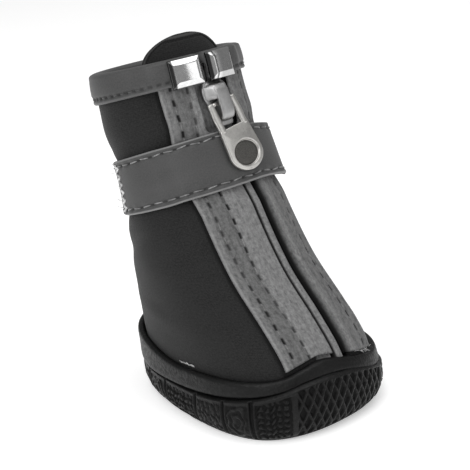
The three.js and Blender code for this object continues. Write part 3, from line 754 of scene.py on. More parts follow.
def build_upper():
    low = -0.1
    run, angle, arc = around_foot(low + 1.1 * spaced(104, 0.55), spaced(150, 0.55), SLIT_HALF)
    wall = UPPER_WALL / 2
    top = (1 - run) / run_per_mm(COLLAR)
    half = rolled(np.minimum(np.abs(arc) - SLIT_HALF, top) + 0.05, wall, 0.8)
    outside = skin(run, angle, -wall + half + upper_creases(run, arc))
    inside = skin(run, angle, -wall - half * 0.9)
    for surface in (outside, inside):
        surface[run <= low + 1e-9, 2] = LAST_FLOOR
    # painted shadow: a dark line on the softshell just outside the bands' outer edges
    band_edge_shadow = 0.85 * near(np.abs(arc) - BAND_OUT - 0.3, 0.3, 0.5)
    sheet("upper_wall", outside, inside, SOFTSHELL, "upper", (arc, front_at(run)), {"deep": band_edge_shadow})


def build_lining():
    """Thin cloth inside the upper, seen at the collar and through the slit."""
    run, angle, arc = around_foot(0.96 * spaced(96, 1.2), spaced(140, 1.2), SLIT_HALF + 1.5)
    ripple = 0.12 * wobble(front_at(run) * 0.3, arc * 0.3, 9)
    outside = skin(run, angle, -UPPER_WALL - 0.12)
    inside = skin(run, angle, -UPPER_WALL - 0.45 + ripple)
    sheet("lining", outside, inside, LINING, None, (arc, front_at(run)), stride=2)


# Bands along the zip: rows of stitches in dents with painted shade, a rolled outer edge with a
# painted highlight, painted light and shade across them

BAND_REACH = {-1: 0.3, 1: 3.0}  # where the cloth ends over the closed zip
STRIP_REACH = 2.65  # the left half of the zip shows this far from the middle
STRIP_GAP = 0.24


def zip_closed(length):
    """1 where the zip is closed, falling to 0 behind the slider."""
    low = float(front_at(SLIDER_RUN)) - SLIDER_LENGTH / 2
    return 1 - smooth(length, low - 4, low + 1)


def band_line(row, length):
    """A row of stitches runs a little unevenly up the band."""
    return row + 0.18 * np.sin(length * 0.17 + row)


def build_band(side, name):
    reach = BAND_REACH[side]
    over = spaced(BAND_OUT - reach, 0.22)
    low = clear_of_rim(side * (reach + over * (BAND_OUT - reach)))[None, :]
    run = low + spaced(82, 0.24)[:, None] * (BAND_TOP - low)
    length = front_at(run)
    closed = zip_closed(length)
    inner = BAND_EDGE + closed * (reach - BAND_EDGE)
    out = inner + over[None, :] * (BAND_OUT - inner)
    arc = side * out
    edge = np.minimum(out - inner, BAND_OUT - out)
    ends = np.minimum(length - front_at(low), front_at(BAND_TOP) - length)
    half = rolled(np.minimum(edge, ends), BAND_THICKNESS / 2, 0.42)
    # painted light and shade: the valley by the closed zip is darkened, and across the band a lit and
    # a shaded copy of the cloth's colour are mixed
    if side < 0:
        sunk = 0.3 * closed * smooth(BAND_EDGE - out, 0.2, 3)
        deep = closed * (1 - smooth(out, reach + 0.05, reach + 0.5))
        light = 1 - 0.75 * smooth(out, 6.6, 8.4) + 0.4 * smooth(out, 11.6, 12.8)
        hole = 0 * out
    else:
        turn = np.clip((BAND_EDGE + 0.4 - out) / (BAND_EDGE + 0.4 - reach), 0, 1)
        sunk = 1.8 * closed * (1 - np.sqrt(1 - turn**2))
        deep = closed * (1 - smooth(out, reach + 0.5, reach + 3.2))
        light = 1 - 0.55 * smooth(out, 6.4, 8.0)
        # painted shade at the bottom of the valley beside the left strip
        hole = closed * (1 - smooth(out, reach + 0.6, reach + 1.5))
    middle = GAP + BAND_THICKNESS / 2 - sunk
    outer = middle + half
    for row in BAND_ROWS[side]:
        line = out - band_line(row, length)
        place = length + 0.6 * row
        at = near(cell(place, BAND_STITCH), 0.7, 0.35) * near(line, 0.2, 0.28)
        at = at * uneven(place, BAND_STITCH, row)
        outer = outer - 0.2 * near(line, 0.2, 0.8) - 0.3 * at
        # painted shade in each stitch dent
        hole = np.maximum(hole, at)
    outer = outer + 0.2 * near(BAND_OUT - out - 0.75, 0.3, 0.6)
    outer = outer + 0.07 * wobble(arc * 0.9, length * 0.35, 11)
    # painted highlight along the rolled outer edge
    pale = 0.3 * near(BAND_OUT - out - 0.4, 0.1, 0.4)
    angle = angle_at(run, arc)
    sheet(name, skin(run, angle, outer), skin(run, angle, middle - half), REFLECTIVE,
          name.replace("cloth", "band"), (arc, length),
          {"hole": hole * 0.9, "pale": pale, "deep": deep, "light": light})
    for k, row in enumerate(BAND_ROWS[side]):
        band_stitches(f"{name}_stitches_{k}", side, row)


def band_stitches(name, side, row):
    start = float(front_at(clear_of_rim(np.array([side * row]))[0])) + 2
    at = np.arange(start, float(front_at(BAND_TOP)) - 2, BAND_STITCH)
    at = (np.round((at + 0.6 * row) / BAND_STITCH) + 0.5) * BAND_STITCH - 0.6 * row

    def on_row(shift):
        run = np.interp(at + shift, FRONT_LENGTH, FRONT_RUNS)
        angle = angle_at(run, side * band_line(row, at))
        return skin(run, angle, GAP + BAND_THICKNESS - 0.24), last_normal(run, angle)

    points, out = on_row(0.0)
    along = on_row(0.4)[0] - on_row(-0.4)[0]
    make(name, *capsules(points, along, out, 2.2, 0.19), BAND_THREAD)


# The zip's halves: padded strips that meet in a thin dark line, with painted shade along their edges

def build_tape(side, name):
    low = SLIT_BOTTOM + GAP * run_per_mm(SLIT_BOTTOM)
    run, over = crossed(low + spaced(92, 0.4) * (BAND_TOP - low), spaced(SLIT_HALF, 0.2))
    length = front_at(run)
    closed = zip_closed(length) * (side > 0)
    width = SLIT_HALF + closed * (STRIP_REACH - SLIT_HALF) - STRIP_GAP
    away = over * width
    arc = side * (STRIP_GAP + away)
    edge = np.minimum(away, width - away)
    crown = np.sqrt(np.maximum(1 - (1 - np.clip(edge / (0.45 * width), 0, 1)) ** 2.2, 0))
    raised = -TAPE_INSET + closed * (0.5 + 0.9 * crown) + 0.05 * wobble(arc, length * 0.4, 13)
    half = rolled(edge, 0.5, 0.4)
    inner = np.minimum(raised - 0.5 - half, -TAPE_INSET - 0.6)
    angle = angle_at(run, arc)
    # painted shade along the left strip's edges, in the line between the strips and in the valley;
    # both strips take the lit copy of the cloth's colour, a little beyond it
    deep = np.maximum(smooth(away, width - 0.7, width - 0.1), 1 - smooth(away, 0.05, 0.4))
    sheet(name, skin(run, angle, raised - 0.5 + half), skin(run, angle, inner), REFLECTIVE,
          name.replace("strip", "tape"), (arc, length),
          {"hole": 0 * arc, "pale": 0 * arc, "deep": closed * deep, "light": 0 * arc + 1.2})


def build_slit_floor():
    """Dark sheet under the strips, standing in for the shade that shows in the line between them."""
    half = SLIT_HALF - 0.4
    run, arc = crossed(0.06 + spaced(92, 1.0) * (BAND_TOP - 0.07),
                       -half + spaced(2 * SLIT_HALF, 1.0) * 2 * half)
    angle = angle_at(run, arc)
    sheet("zip_floor", skin(run, angle, -1.35), skin(run, angle, -1.75), LINING, None,
          (arc, front_at(run)), stride=2)


# Binding folded over the collar's edge

BINDING_FREE = 11  # mm at each end of the binding that have no stitches


def build_binding():
    per_mm = run_per_mm(COLLAR)
    start = float(angle_at(1.0, CLIP_SPREAD / 2 - CLIP_SHIFT))
    end = 2 * math.pi - float(angle_at(1.0, CLIP_SPREAD / 2 + CLIP_SHIFT))
    turns = start + spaced(134, 0.24) * (end - start)
    arcs = arc_at(1.0, signed(turns))
    whole = float(arc_at(1.0, math.pi))
    places = np.where(turns > math.pi, 2 * whole + arcs, arcs)

    # Around the fold: height above the collar's edge, share of the way inwards, and thickness
    leg = np.linspace(0, 1, 25)
    fold = np.linspace(0, math.pi, 13)[1:-1]
    back = leg[::3]
    up = np.concatenate([
        -BINDING_HEIGHT * (1 - leg),
        (GAP + BINDING_THICKNESS) * np.sin(fold) ** 0.8,
        -BINDING_HEIGHT * back,
    ])
    share = np.concatenate([0 * leg, (1 - np.cos(fold)) / 2, 0 * back + 1])[None, :]
    puff = 0.22 * np.sin(math.pi * np.minimum(1, leg * 1.05)) ** 0.7
    puff = np.concatenate([puff, 0 * fold, 0 * back])[None, :]

    place, rise = crossed(places, up)
    arc = arcs[:, None]
    outer = over_bands(arc) + BINDING_THICKNESS
    inner = -UPPER_WALL - GAP - BINDING_THICKNESS
    past_left = arc - (CLIP_SPREAD / 2 + CLIP_WIDTH - CLIP_SHIFT)
    past_right = -arc - (CLIP_SPREAD / 2 + CLIP_WIDTH + CLIP_SHIFT)
    bulge = 0.8 * np.exp(-(((past_left - 2.4) / 1.7) ** 2))
    bulge = bulge + 0.4 * np.exp(-(((past_right - 3.5) / 2.5) ** 2))
    away = rise + BINDING_HEIGHT
    line = rise - BINDING_ROW
    at = near(cell(place, BINDING_STITCH), 0.4, 0.3) * near(line, 0.2, 0.3)
    at = at * uneven(place, BINDING_STITCH, 3) * (share == 0)
    ripple = 0.2 * wobble(place * 0.4, rise * 0.6, 17) * np.minimum(1, away)
    shape = ripple - 0.22 * near(line, 0.15, 0.7) - 0.35 * (1 - np.minimum(1, away / 0.35)) ** 2
    offset = (outer + bulge) * (1 - share) + inner * share + puff + shape * (share == 0) - 0.3 * at
    pale = 0.25 * near(away - 0.2, 0.1, 0.45) * (share == 0)

    # The hidden inside of the fold
    foot, head = 0.3 - BINDING_HEIGHT, 4.0 - BINDING_HEIGHT
    rise = np.hstack([rise, np.tile([foot, head, head, foot], (len(places), 1))])
    hollow = [inner + BINDING_THICKNESS + 0 * outer] * 2 + [outer - BINDING_THICKNESS] * 2
    offset = np.hstack([offset, *hollow])
    plain = np.zeros((len(places), len(hollow)))
    around = np.concatenate([up, -BINDING_HEIGHT * np.array([1, 0.75, 0.5, 0.25])])
    uv = np.stack(crossed(places, around), -1).reshape(-1, 2)
    # painted shade in the stitch dents; the paler cut edge is the cloth's own
    marks = {"hole": np.hstack([0.95 * at, plain]), "pale": np.hstack([pale, plain])}
    verts, faces = loft(skin(1 + rise * per_mm, signed(turns)[:, None], offset))
    make("binding_cloth", verts, faces, WEBBING, "collar_binding", uv, marks)

    first = math.ceil((places[0] + BINDING_FREE) / BINDING_STITCH)
    last = math.floor((places[-1] - BINDING_FREE) / BINDING_STITCH)
    angle = signed(np.interp((np.arange(first, last) + 0.5) * BINDING_STITCH, places, turns))
    run = 1 + BINDING_ROW * per_mm
    points = skin(run, angle, over_bands(arc_at(1.0, angle)) + BINDING_THICKNESS - 0.02)
    along = last_point(run, angle + 0.01) - last_point(run, angle - 0.01)
    threads = capsules(points, along, last_normal(run, angle), 1.1, 0.16)
    make("binding_stitches", *threads, GREY_THREAD)


# Clips on the binding, beside the zip

def build_clip(side, name, node):
    v, u = crossed(spaced(CLIP_HEIGHT, 0.1) * CLIP_HEIGHT, spaced(CLIP_WIDTH, 0.1) * CLIP_WIDTH)
    away = np.minimum(np.minimum(u, CLIP_WIDTH - u), np.minimum(v, CLIP_HEIGHT - v))
    run = 1 + run_per_mm(0.96) * (CLIP_OVER - CLIP_HEIGHT + v)
    angle = angle_at(run, side * (CLIP_SPREAD / 2 + u) - CLIP_SHIFT)
    inner = 3 * GAP + BAND_THICKNESS + BINDING_THICKNESS
    slope = np.clip(away / CLIP_BEVEL, 0, 1)
    crown = CLIP_EDGE + (CLIP_CROWN - CLIP_EDGE) * slope
    soft = 0.05 * near(away - CLIP_BEVEL, 0, 0.22)
    lip = CLIP_EDGE * (1 - np.sqrt(np.clip(away / 0.18, 0, 1))) * 0.7
    middle = 0.1 * np.sin(math.pi * u / CLIP_WIDTH) * np.sin(math.pi * v / CLIP_HEIGHT)
    outer = inner + crown - soft - lip + middle * slope
    # painted reflection: dark streaks on the chrome, toward one side of each clip
    if side < 0:
        painted_dark_reflection = 0.9 * smooth(u, CLIP_WIDTH - 1.1, CLIP_WIDTH - 0.8)
    else:
        painted_dark_reflection = 0.9 * near(u - 0.3, 0.3, 0.2) + 0.8 * near(u - 1.75, 0.12, 0.25)
        painted_dark_reflection = np.minimum(painted_dark_reflection + 0.35 * smooth(u, 2.2, 3.4), 1)
    sheet(name, skin(run, angle, outer), skin(run, angle, inner), CHROME, node,
          marks={"deep": painted_dark_reflection})


# Strap

STRAP_SWEEP = 360 + STRAP_OVERLAP


def on_strap(over, across, lift):
    """Point and normal on the strap: over is the share of its way, across is mm from its middle."""
    turn = np.radians(STRAP_START + over * STRAP_SWEEP)
    angle = np.arctan2(np.sin(turn), np.cos(turn))
    slack = smooth(np.degrees(angle), 12, 55) * (1 - smooth(np.degrees(angle), 95, 150))
    run = STRAP_MIDDLE + (across - STRAP_DROP * slack) * run_per_mm(STRAP_MIDDLE)
    inner = over_bands(arc_at(run, angle)) + STRAP_STANDOFF * slack
    inner = inner + (STRAP_THICKNESS + GAP) * smooth(over * STRAP_SWEEP, 344, 356)
    return skin(run, angle, inner + lift), last_normal(run, angle)


def strap_row(side, place):
    """A row of stitches runs a little unevenly along the strap."""
    return side * STRAP_ROW + 0.1 * np.sin(place * 0.11 + side)


def build_strap():
    fine = np.linspace(0, 1, 1601)
    length = lengths(on_strap(fine, 0.0, STRAP_THICKNESS)[0])
    whole = float(length[-1])
    a, place = crossed((spaced(STRAP_WIDTH, 0.26) - 0.5) * STRAP_WIDTH, spaced(whole, 0.3) * whole)
    over = np.interp(place, length, fine)
    edge = np.minimum(STRAP_WIDTH / 2 - np.abs(a), np.minimum(place, whole - place))
    half = rolled(edge, STRAP_THICKNESS / 2, 0.3)
    lift = STRAP_THICKNESS / 2 + half
    hole = 0 * a
    for side in (-1, 1):
        line = a - strap_row(side, place)
        step = cell(place + side * 0.5, STRAP_STITCH)
        at = near(step, 0.42, 0.3) * near(line, 0.2, 0.25)
        pucker = np.cos(step * 2 * math.pi / STRAP_STITCH) * near(line, 0.6, 1.2)
        lift = lift - 0.12 * near(line, 0.1, 0.9) - 0.25 * at - 0.08 * pucker
        # painted shade in the stitch dents
        hole = np.maximum(hole, at)
    lift = lift + 0.06 * wobble(place * 0.22, a * 0.35, 23)
    pale = 0.9 * near(STRAP_WIDTH / 2 - np.abs(a), 0.22, 0.35)
    sheet("strap_cloth", on_strap(over, a, lift)[0],
          on_strap(over, a, STRAP_THICKNESS / 2 - half)[0], WEBBING, "strap", (place, a),
          {"hole": 0.75 * hole, "pale": pale})
    for side, edge in ((-1, "lower"), (1, "upper")):
        at = (np.arange(1, int(whole / STRAP_STITCH) - 2) + 0.5) * STRAP_STITCH - side * 0.5
        share = np.interp(at, length, fine)
        across = strap_row(side, at) + 0.08 * np.sin(at * 7.9 + side)
        tilt = 0.05 * np.sin(at * 4.3 + side)
        points, out = on_strap(share, across, STRAP_THICKNESS - 0.02)
        ahead, _ = on_strap(share + 0.002, across + tilt, STRAP_THICKNESS)
        make(f"strap_stitches_{edge}", *capsules(points, ahead - points, out, 2.6, 0.2), PALE_THREAD)


def loose_thread(start, out, bend, radius):
    t = np.linspace(0, 1, 6)[:, None]
    return tube(start + out * t + bend * t**1.5, radius)


def build_zigzag():
    """Pale zigzag that tacks the strap to the upper on the shoe's right, and its loose ends."""
    draw = np.random.default_rng(31)
    over = ((-107 - STRAP_START) % 360) / STRAP_SWEEP
    end = STRAP_WIDTH / 2 - 1.2
    rise = np.linspace(-end, end, 13)
    shift = 0.0085 * np.where(np.arange(len(rise)) % 2, 1, -1)
    points, _ = on_strap(over + shift, rise, STRAP_THICKNESS + 0.1)
    reach = points[1:] - points[:-1]
    _, out = on_strap(over, (rise[1:] + rise[:-1]) / 2, 0.0)
    length = np.linalg.norm(reach, axis=1) + 0.3
    parts = [capsules((points[1:] + points[:-1]) / 2, reach, out, length, 0.3)]
    for _ in range(16):
        across = draw.uniform(-STRAP_WIDTH / 2 + 1, STRAP_WIDTH / 2 - 1)
        start, up = on_strap(over + draw.uniform(-0.004, 0.004), across, STRAP_THICKNESS + 0.05)
        parts.append(loose_thread(start, up * 0.9, draw.uniform(-1, 1, 3) * 1.1, 0.07))
    make("strap_tack", *joined(parts), FIBRE)


# Tongue

def build_tongue():
    up, over = crossed(spaced(90, 0.5), spaced(33, 0.42))
    per_mm = run_per_mm(COLLAR)
    top = 1 + TONGUE_RISE * per_mm
    low = top - TONGUE_LENGTH * per_mm
    rounding = TONGUE_ROUND * per_mm
    straight = 0.4
    turn = np.maximum(0, (up - straight) / (1 - straight)) * TONGUE_TURN
    run = low + np.minimum(1, up / straight) * (top - rounding - low)
    run = run + rounding * np.sin(turn) / math.sin(TONGUE_TURN)
    reach = TONGUE_HALF * np.cos(turn)
    arc = reach * (2 * over - 1)
    edge = np.minimum(reach - np.abs(arc), (top - run) / per_mm + 0.35)
    half = rolled(edge, TONGUE_THICKNESS / 2, 0.5)
    hem = 0.22 * near(edge - 0.9, 0.45, 0.5) - 0.22 * near(edge - 2.0, 0.1, 0.35)
    puff = 0.25 * smooth(edge, 2, 8) + 0.08 * wobble(front_at(run) * 0.4, arc * 0.4, 29)
    angle = angle_at(run, arc - TONGUE_LEAN * smooth(run, 0.93, 1.06))
    middle = -UPPER_WALL - 2 * GAP - BINDING_THICKNESS - TONGUE_THICKNESS / 2
    outside = skin(run, angle, middle + half + (hem + puff) * smooth(edge, 0, 0.5) * 0.8)
    sheet("tongue_cloth", outside, skin(run, angle, middle - half), SOFTSHELL, "tongue",
          (arc, front_at(run)), {"pale": 0.7 * near(edge - 1.0, 0.12, 0.3)})


# Outsole: the cup with its band, blocks and lattice, and the tread under it

LUG_TURNS = np.array([52, 68, 84, 101, 119, 138, 158])
CROSS_GROOVES = ((0.72, -1.5), (0.42, -1.0), (0.1, 1.5), (-0.26, 3.0), (-0.62, 4.0))
FINE_DEPTH = 0.7
GROOVE_MARK = 0.4  # how strongly painted shade darkens the deep parts of the sole's side

# height as a share of the rim band's, distance from the upper as a share of RIM_WALL
RIM_BAND = (
    (0.03, 0.55), (0.06, 0.85), (0.1, 1.02), (0.16, 1.1), (0.28, 1.12), (0.42, 1.08),
    (0.56, 1.04), (0.7, 1.0), (0.82, 0.97), (0.9, 0.92), (0.95, 0.84), (0.985, 0.7),
    (1.0, 0.5), (1.0, 0.25), (0.98, 0.06), (0.9, 0.0), (0.5, 0.0), (0.0, 0.0),
)


def sole_edge(angle):
    c, s = (squared(v, 2 / SOLE_SQUARENESS) for v in (np.cos(angle), np.sin(angle)))
    return np.stack([c * SOLE_LENGTH / 2, s * (1 + SOLE_EGG * c) * SOLE_WIDTH / 2], -1)


def outline(angle, inset):
    tangent = unit(sole_edge(angle + 0.02) - sole_edge(angle - 0.02))
    inward = np.stack([-tangent[..., 1], tangent[..., 0]], -1)
    return sole_edge(angle) + inward * np.asarray(inset, float)[..., None]


EDGE_ANGLES = np.radians(np.linspace(-180, 180, 3601))
EDGE = sole_edge(EDGE_ANGLES)
EDGE_PLACE = lengths(EDGE)
EDGE_PLACE -= np.interp(0, EDGE_ANGLES, EDGE_PLACE)


def place_at(angle):
    """Millimetres around the sole's edge from the toe, positive on the left."""
    return np.interp(angle, EDGE_ANGLES, EDGE_PLACE)


def around_edge(count):
    """Even places around the sole's edge and their angles."""
    place = np.linspace(EDGE_PLACE[0], EDGE_PLACE[-1], count + 1)[:-1]
    return place, np.interp(place, EDGE_PLACE, EDGE_ANGLES)


def tread_lift(x):
    toe = smooth(x, SOLE_LENGTH * 0.3, SOLE_LENGTH * 0.56)
    heel = smooth(-x, SOLE_LENGTH * 0.4, SOLE_LENGTH * 0.54)
    return TOE_SPRING * toe + HEEL_BEVEL * heel


def lattice_places():
    """Places around the edge at an even pitch across the toe."""
    turns = np.arange(0, 1.6, 0.01)
    reach = sole_edge(turns)[:, 1]
    across = np.arange(-SOLE_WIDTH * LATTICE_EDGE, SOLE_WIDTH * LATTICE_EDGE, LATTICE_PITCH)
    return [float(place_at(np.sign(y) * turns[np.argmax(reach >= abs(y))])) for y in across]


LATTICE_PLACES = lattice_places()
LUG_PLACES = place_at(np.radians(LUG_TURNS))


def in_groove(distance, width):
    """1 in the middle of a groove, 0 outside it, with steep walls."""
    return near(distance, width / 2 - 0.1, 0.25)


def block_pattern(kind, u, v, half, high):
    """Depth of one of the three patterns in the blocks on the sole's side."""
    if kind == 0:
        return 0.6 * smooth(np.hypot(cell(u, 1.7), cell(v, 1.7)), 0.42, 0.68)
    if kind == 1:
        size = np.hypot(u / (half * 0.82), v / (high * 0.46))
        return 0.45 * (1 - np.maximum(near(size - 0.86, 0.05, 0.09), near(size - 0.42, 0.05, 0.09)))
    one, two = (near(cell(u + turned * v * 0.62, 1.9), 0.22, 0.25) for turned in (1, -1))
    return 0.42 * np.maximum(one, two)


def side_relief(place, height, groove):
    """Depth of the pattern on the sole's side, below its skin, in millimetres."""
    ridge = 0 * place
    for at in LATTICE_PLACES:
        middle = (np.interp(at, place[0], groove[0]) - 0.2) / 2
        for side in (-1, 1):
            line = (place - at - side * (height - middle) * math.tan(LATTICE_TILT))
            line = line * math.cos(LATTICE_TILT)
            ridge = np.maximum(ridge, near(line, LATTICE_RIDGE / 2 - 0.15, 0.3))
    toe_end = max(LATTICE_PLACES) + 2.6
    body = smooth(height, 0.3, 0.8) * (1 - smooth(height, groove - 0.9, groove - 0.5))
    depth = LATTICE_DEPTH * (1 - ridge) * body * near(place, toe_end - 1.2, 1.2)
    for at in LUG_PLACES:
        cut = in_groove(np.abs(place) - at, SIDE_GROOVE)
        cut = cut * (1 - smooth(height, groove - 0.25, groove))
        depth = np.maximum(depth, SIDE_GROOVE_DEPTH * cut)
    below = 1 - smooth(height, groove - 1, groove - 0.4)
    depth = np.maximum(depth, 0.12 * (1 + wobble(place * 2.1, height * 2.1, 43)) * below)
    ends = [toe_end, *LUG_PLACES, float(place_at(math.pi))]
    for k, (start, end) in enumerate(zip(ends, ends[1:])):
        half = (end - start) / 2 - SIDE_GROOVE / 2 - 0.3
        if half < 1:
            continue
        high = groove - 1.2
        u = np.abs(place) - (start + end) / 2
        v = height - high / 2 - 0.5
        frame_mask = near(u, half - 0.3, 0.3) * near(v, high / 2 - 0.7, 0.4)
        bent_u = u + 0.3 * np.sin(v * 1.9 + k) + 0.25 * np.sin(u * 0.9 + 2 * k)
        bent_v = v + 0.3 * np.sin(u * 1.4 + 1.7 * k) + 0.15 * np.sin(u * 3.1)
        depth = np.maximum(depth, block_pattern(k % 3, bent_u, bent_v, half, high) * frame_mask)
    return depth


def build_sole_side():
    count = 1120
    place, angle = around_edge(count)
    groove = rim(RIM_GROOVE, angle)
    top = rim(RIM_TOP, angle)
    rises = np.linspace(0, 0.97, 44)
    height = rises[:, None] * groove
    relief = side_relief(place + 0 * height, height, groove + 0 * height)
    rows = []
    for rise, cut in zip(rises, relief):
        flat = outline(angle, read(SIDE, 1, rise) * CUP_WALL + cut)
        rows.append(np.column_stack([flat, tread_lift(flat[:, 0]) * (1 - rise) + rise * groove]))
    for rise, inset in ((0.985, 0.22), (1.0, 0.6), (1.02, 1.25)):
        flat = outline(angle, 0.1 * CUP_WALL + inset * BAND_GROOVE_DEPTH)
        rows.append(np.column_stack([flat, rise * groove]))
    ripple = 0.06 * wobble(place * 0.5, 0 * place, 37)
    for rise, wall in RIM_BAND:
        level = groove + rise * (top - groove)
        run = run_at_height(angle, level)
        point = skin(run, angle, GAP + wall * RIM_WALL + ripple * (wall > 0.9))
        point[:, 2] = level
        rows.append(point)
    for inset, level in ((2.6, FLOOR_THICKNESS + 0.1), (9, FLOOR_THICKNESS), (9, 2.4), (0.05, 2.0)):
        rows.append(np.column_stack([outline(angle, CUP_WALL + inset), level + 0 * angle]))
    index = np.arange(len(rows) * count).reshape(-1, count)
    faces = grid_faces(np.concatenate([index, index[:1]]), wrap=True)
    deep = np.zeros((len(rows), count))
    # painted shade in the side's grooves, lattice cells and block patterns
    deep[: len(relief)] = GROOVE_MARK * np.clip(relief / 0.6, 0, 1)
    make("sole_cup", np.concatenate(rows), faces, RUBBER, "outsole", marks={"deep": deep})


def tread_relief(x, y, inset, place):
    """Depth of the tread's pattern above the floor, in millimetres."""
    inner = smooth(inset, LUG_DEPTH, LUG_DEPTH + 0.3)
    depth = TREAD_DEPTH * in_groove(inset - LUG_DEPTH - TREAD_GROOVE / 2, TREAD_GROOVE)
    share = y / (SOLE_WIDTH * 0.62)
    bands = []
    for at, bow in CROSS_GROOVES:
        line = x - at * SOLE_LENGTH / 2 - bow * (1 - share**2) + bow / 2
        depth = np.maximum(depth, TREAD_DEPTH * in_groove(line, TREAD_GROOVE))
        bands.append(line)
    for at in LUG_PLACES:
        cut = in_groove(np.abs(place) - at, SIDE_GROOVE) * (1 - inner)
        depth = np.maximum(depth, TREAD_DEPTH * cut)

    # Triangles with dots in the two front bands
    pitch = 5.2
    zig = np.abs(cell(y, pitch)) * 2 / pitch
    for front, back in (bands[0:2], bands[1:3]):
        t = back / np.maximum(back - front, 0.1)
        inside = smooth(t, 0.1, 0.14) * (1 - smooth(t, 0.86, 0.9)) * inner
        line = near((t - 0.1 - 0.8 * zig) * 4.0, 0.2, 0.35)
        dot = np.hypot(cell(y, pitch / 2, 0), (t - np.where(zig > 0.5, 0.3, 0.7)) * 9)
        depth = np.maximum(depth, FINE_DEPTH * np.maximum(line, near(dot, 0.3, 0.25)) * inside)

    # Herringbone behind, around a plain ring plate under the ball of the paw
    away = np.hypot((bands[2] + bands[3]) / 2, y)
    herring = near(cell(np.abs(y) * 0.8 + x, 3.1) * 0.78, 0.25, 0.3)
    split = near(cell(np.abs(y), 6.2), 0.2, 0.25)
    zone = (1 - smooth(bands[2], -0.9, -0.6)) * inner * (1 - smooth(-bands[4], 0.4, 0.8))
    zone = zone * smooth(away, 5.2, 5.5)
    depth = np.maximum(depth, FINE_DEPTH * np.maximum(herring, split) * zone)
    depth = np.where(away < 5.3, 0, depth)
    depth = np.maximum(depth, TREAD_DEPTH * 0.8 * near(away - 5.5, 0.25, 0.25) * inner)
    depth = np.maximum(depth, 0.5 * near(away - 3.6, 0.2, 0.25) * inner)

    # Dots at the heel, pips on the edge lugs and a lattice at the toe's tip
    heel = smooth(-bands[4], 0.8, 1.1) * inner
    dots = near(np.hypot(cell(x, 2.6, 0.25), cell(y, 2.6, 0)), 0.55, 0.3) * heel
    lug = (1 - inner) * smooth(inset, CUP_WALL + 0.6, CUP_WALL + 0.9)
    pips = near(np.hypot(cell(np.abs(place), 2.3, 0), inset - 5.2), 0.3, 0.25) * lug
    tip = smooth(x, 26.3, 26.8) * (1 - inner) + smooth(bands[0], 0.7, 1.0) * inner
    one, two = (near(cell(y + side * x, 3.2) * 2.3 / 3.2, 0.22, 0.25) for side in (1, -1))
    return np.maximum.reduce([depth, *(
        FINE_DEPTH * layer for layer in (dots, pips, np.maximum(one, two) * tip)
    )])


def build_tread():
    count = 640
    place, angle = around_edge(count)
    edge = outline(angle, CUP_WALL)
    radial = np.concatenate([np.linspace(1, 0.62, 44), np.linspace(0.61, 0.02, 56)])
    flat = edge[None] * radial[:, None, None]
    x, y = flat[..., 0], flat[..., 1]
    ring = EDGE[::10]
    inset = np.empty(x.shape)
    for k in range(len(radial)):
        gap = np.hypot(x[k][:, None] - ring[None, :, 0], y[k][:, None] - ring[None, :, 1])
        inset[k] = gap.min(axis=1)
    depth = tread_relief(x, y, inset, place + 0 * x)
    z = tread_lift(x) + depth * smooth(inset, CUP_WALL, CUP_WALL + 0.3)
    roof = 3.0
    wall = np.column_stack([edge, roof + 0 * angle])
    rows = np.concatenate([wall[None], np.stack([x, y, z], -1)])
    index = np.arange(len(rows) * count).reshape(-1, count)
    verts = np.concatenate([rows.reshape(-1, 3), [[0, 0, float(z[-1].mean())]], [[0, 0, roof]]])
    faces = grid_faces(index, wrap=True)
    for a, b, middle in ((index[-1], np.roll(index[-1], -1), len(verts) - 2),
                         (np.roll(index[0], -1), index[0], len(verts) - 1)):
        faces += np.stack([a, b, np.full(count, middle)], -1).tolist()
    make("sole_tread", verts, faces, RUBBER)


def build_insole():
    angle = spaced(130, 0.8) * 2 * math.pi
    top = LAST_FLOOR + INSOLE_THICKNESS
    rim_share = 0.975
    rows = []
    for level, share in ((LAST_FLOOR, 1.0), (LAST_FLOOR + INSOLE_THICKNESS * 0.7, 1.0),
                         (top, rim_share)):
        point = skin(run_at_height(angle, level), angle, -UPPER_WALL - GAP)
        point[:, :2] *= share
        point[:, 2] = level
        rows.append(point[:-1])
    for share in np.linspace(0.9, 0.05, 22):
        point = rows[2].copy()
        point[:, :2] *= share / rim_share
        ripple = 0.08 * wobble(point[:, 0] * 0.3, point[:, 1] * 0.3, 41)
        point[:, 2] = top - 0.35 * (1 - share) - ripple
        rows.append(point)
    verts, faces = loft(rows)
    make("footbed", verts, faces, LINING, "insole", verts[:, :2])


# Slider and pull tab, in a frame on the zip: x out of the skin, y to the left, z up the zip

PLATE_LOW = GAP + 0.1 - TAPE_INSET
PLATE_TOP = PLATE_LOW + SLIDER_PLATE
PIN_HEIGHT = PLATE_TOP + GAP + PIN_RADIUS
TAB_WINDOW_END = -BRIDGE_LENGTH / 2 - TAB_WINDOW
ZIP_PLACE = last_point(SLIDER_RUN, 0.0)
ZIP_OUT = last_normal(SLIDER_RUN, 0.0)
ZIP_AXES = np.stack([ZIP_OUT, [0, 1, 0], unit(np.cross(ZIP_OUT, [0.0, 1.0, 0.0]))], 1)


def on_zip(points):
    return np.asarray(points) @ ZIP_AXES.T + ZIP_PLACE


def tab_lean():
    """The tab hangs from its pin and lies on the strap, so it leans out by this angle."""
    rest = float(over_bands(0.0)) + STRAP_THICKNESS + GAP
    lean = 0.0
    for share in np.linspace(0.5, -0.5, 13):
        run = STRAP_MIDDLE + share * STRAP_WIDTH * run_per_mm(STRAP_MIDDLE)
        point = (skin(run, 0.0, rest) - ZIP_PLACE) @ ZIP_AXES
        if -point[2] > TAB_LENGTH + RING_RADIUS * RING_STRETCH:
            break
        height = point[0] - PIN_HEIGHT
        touch = math.asin(TAB_THICKNESS / 2 / math.hypot(height, point[2]))
        lean = max(lean, math.atan2(height, -point[2]) + touch)
    return lean


TAB_LEAN = tab_lean()


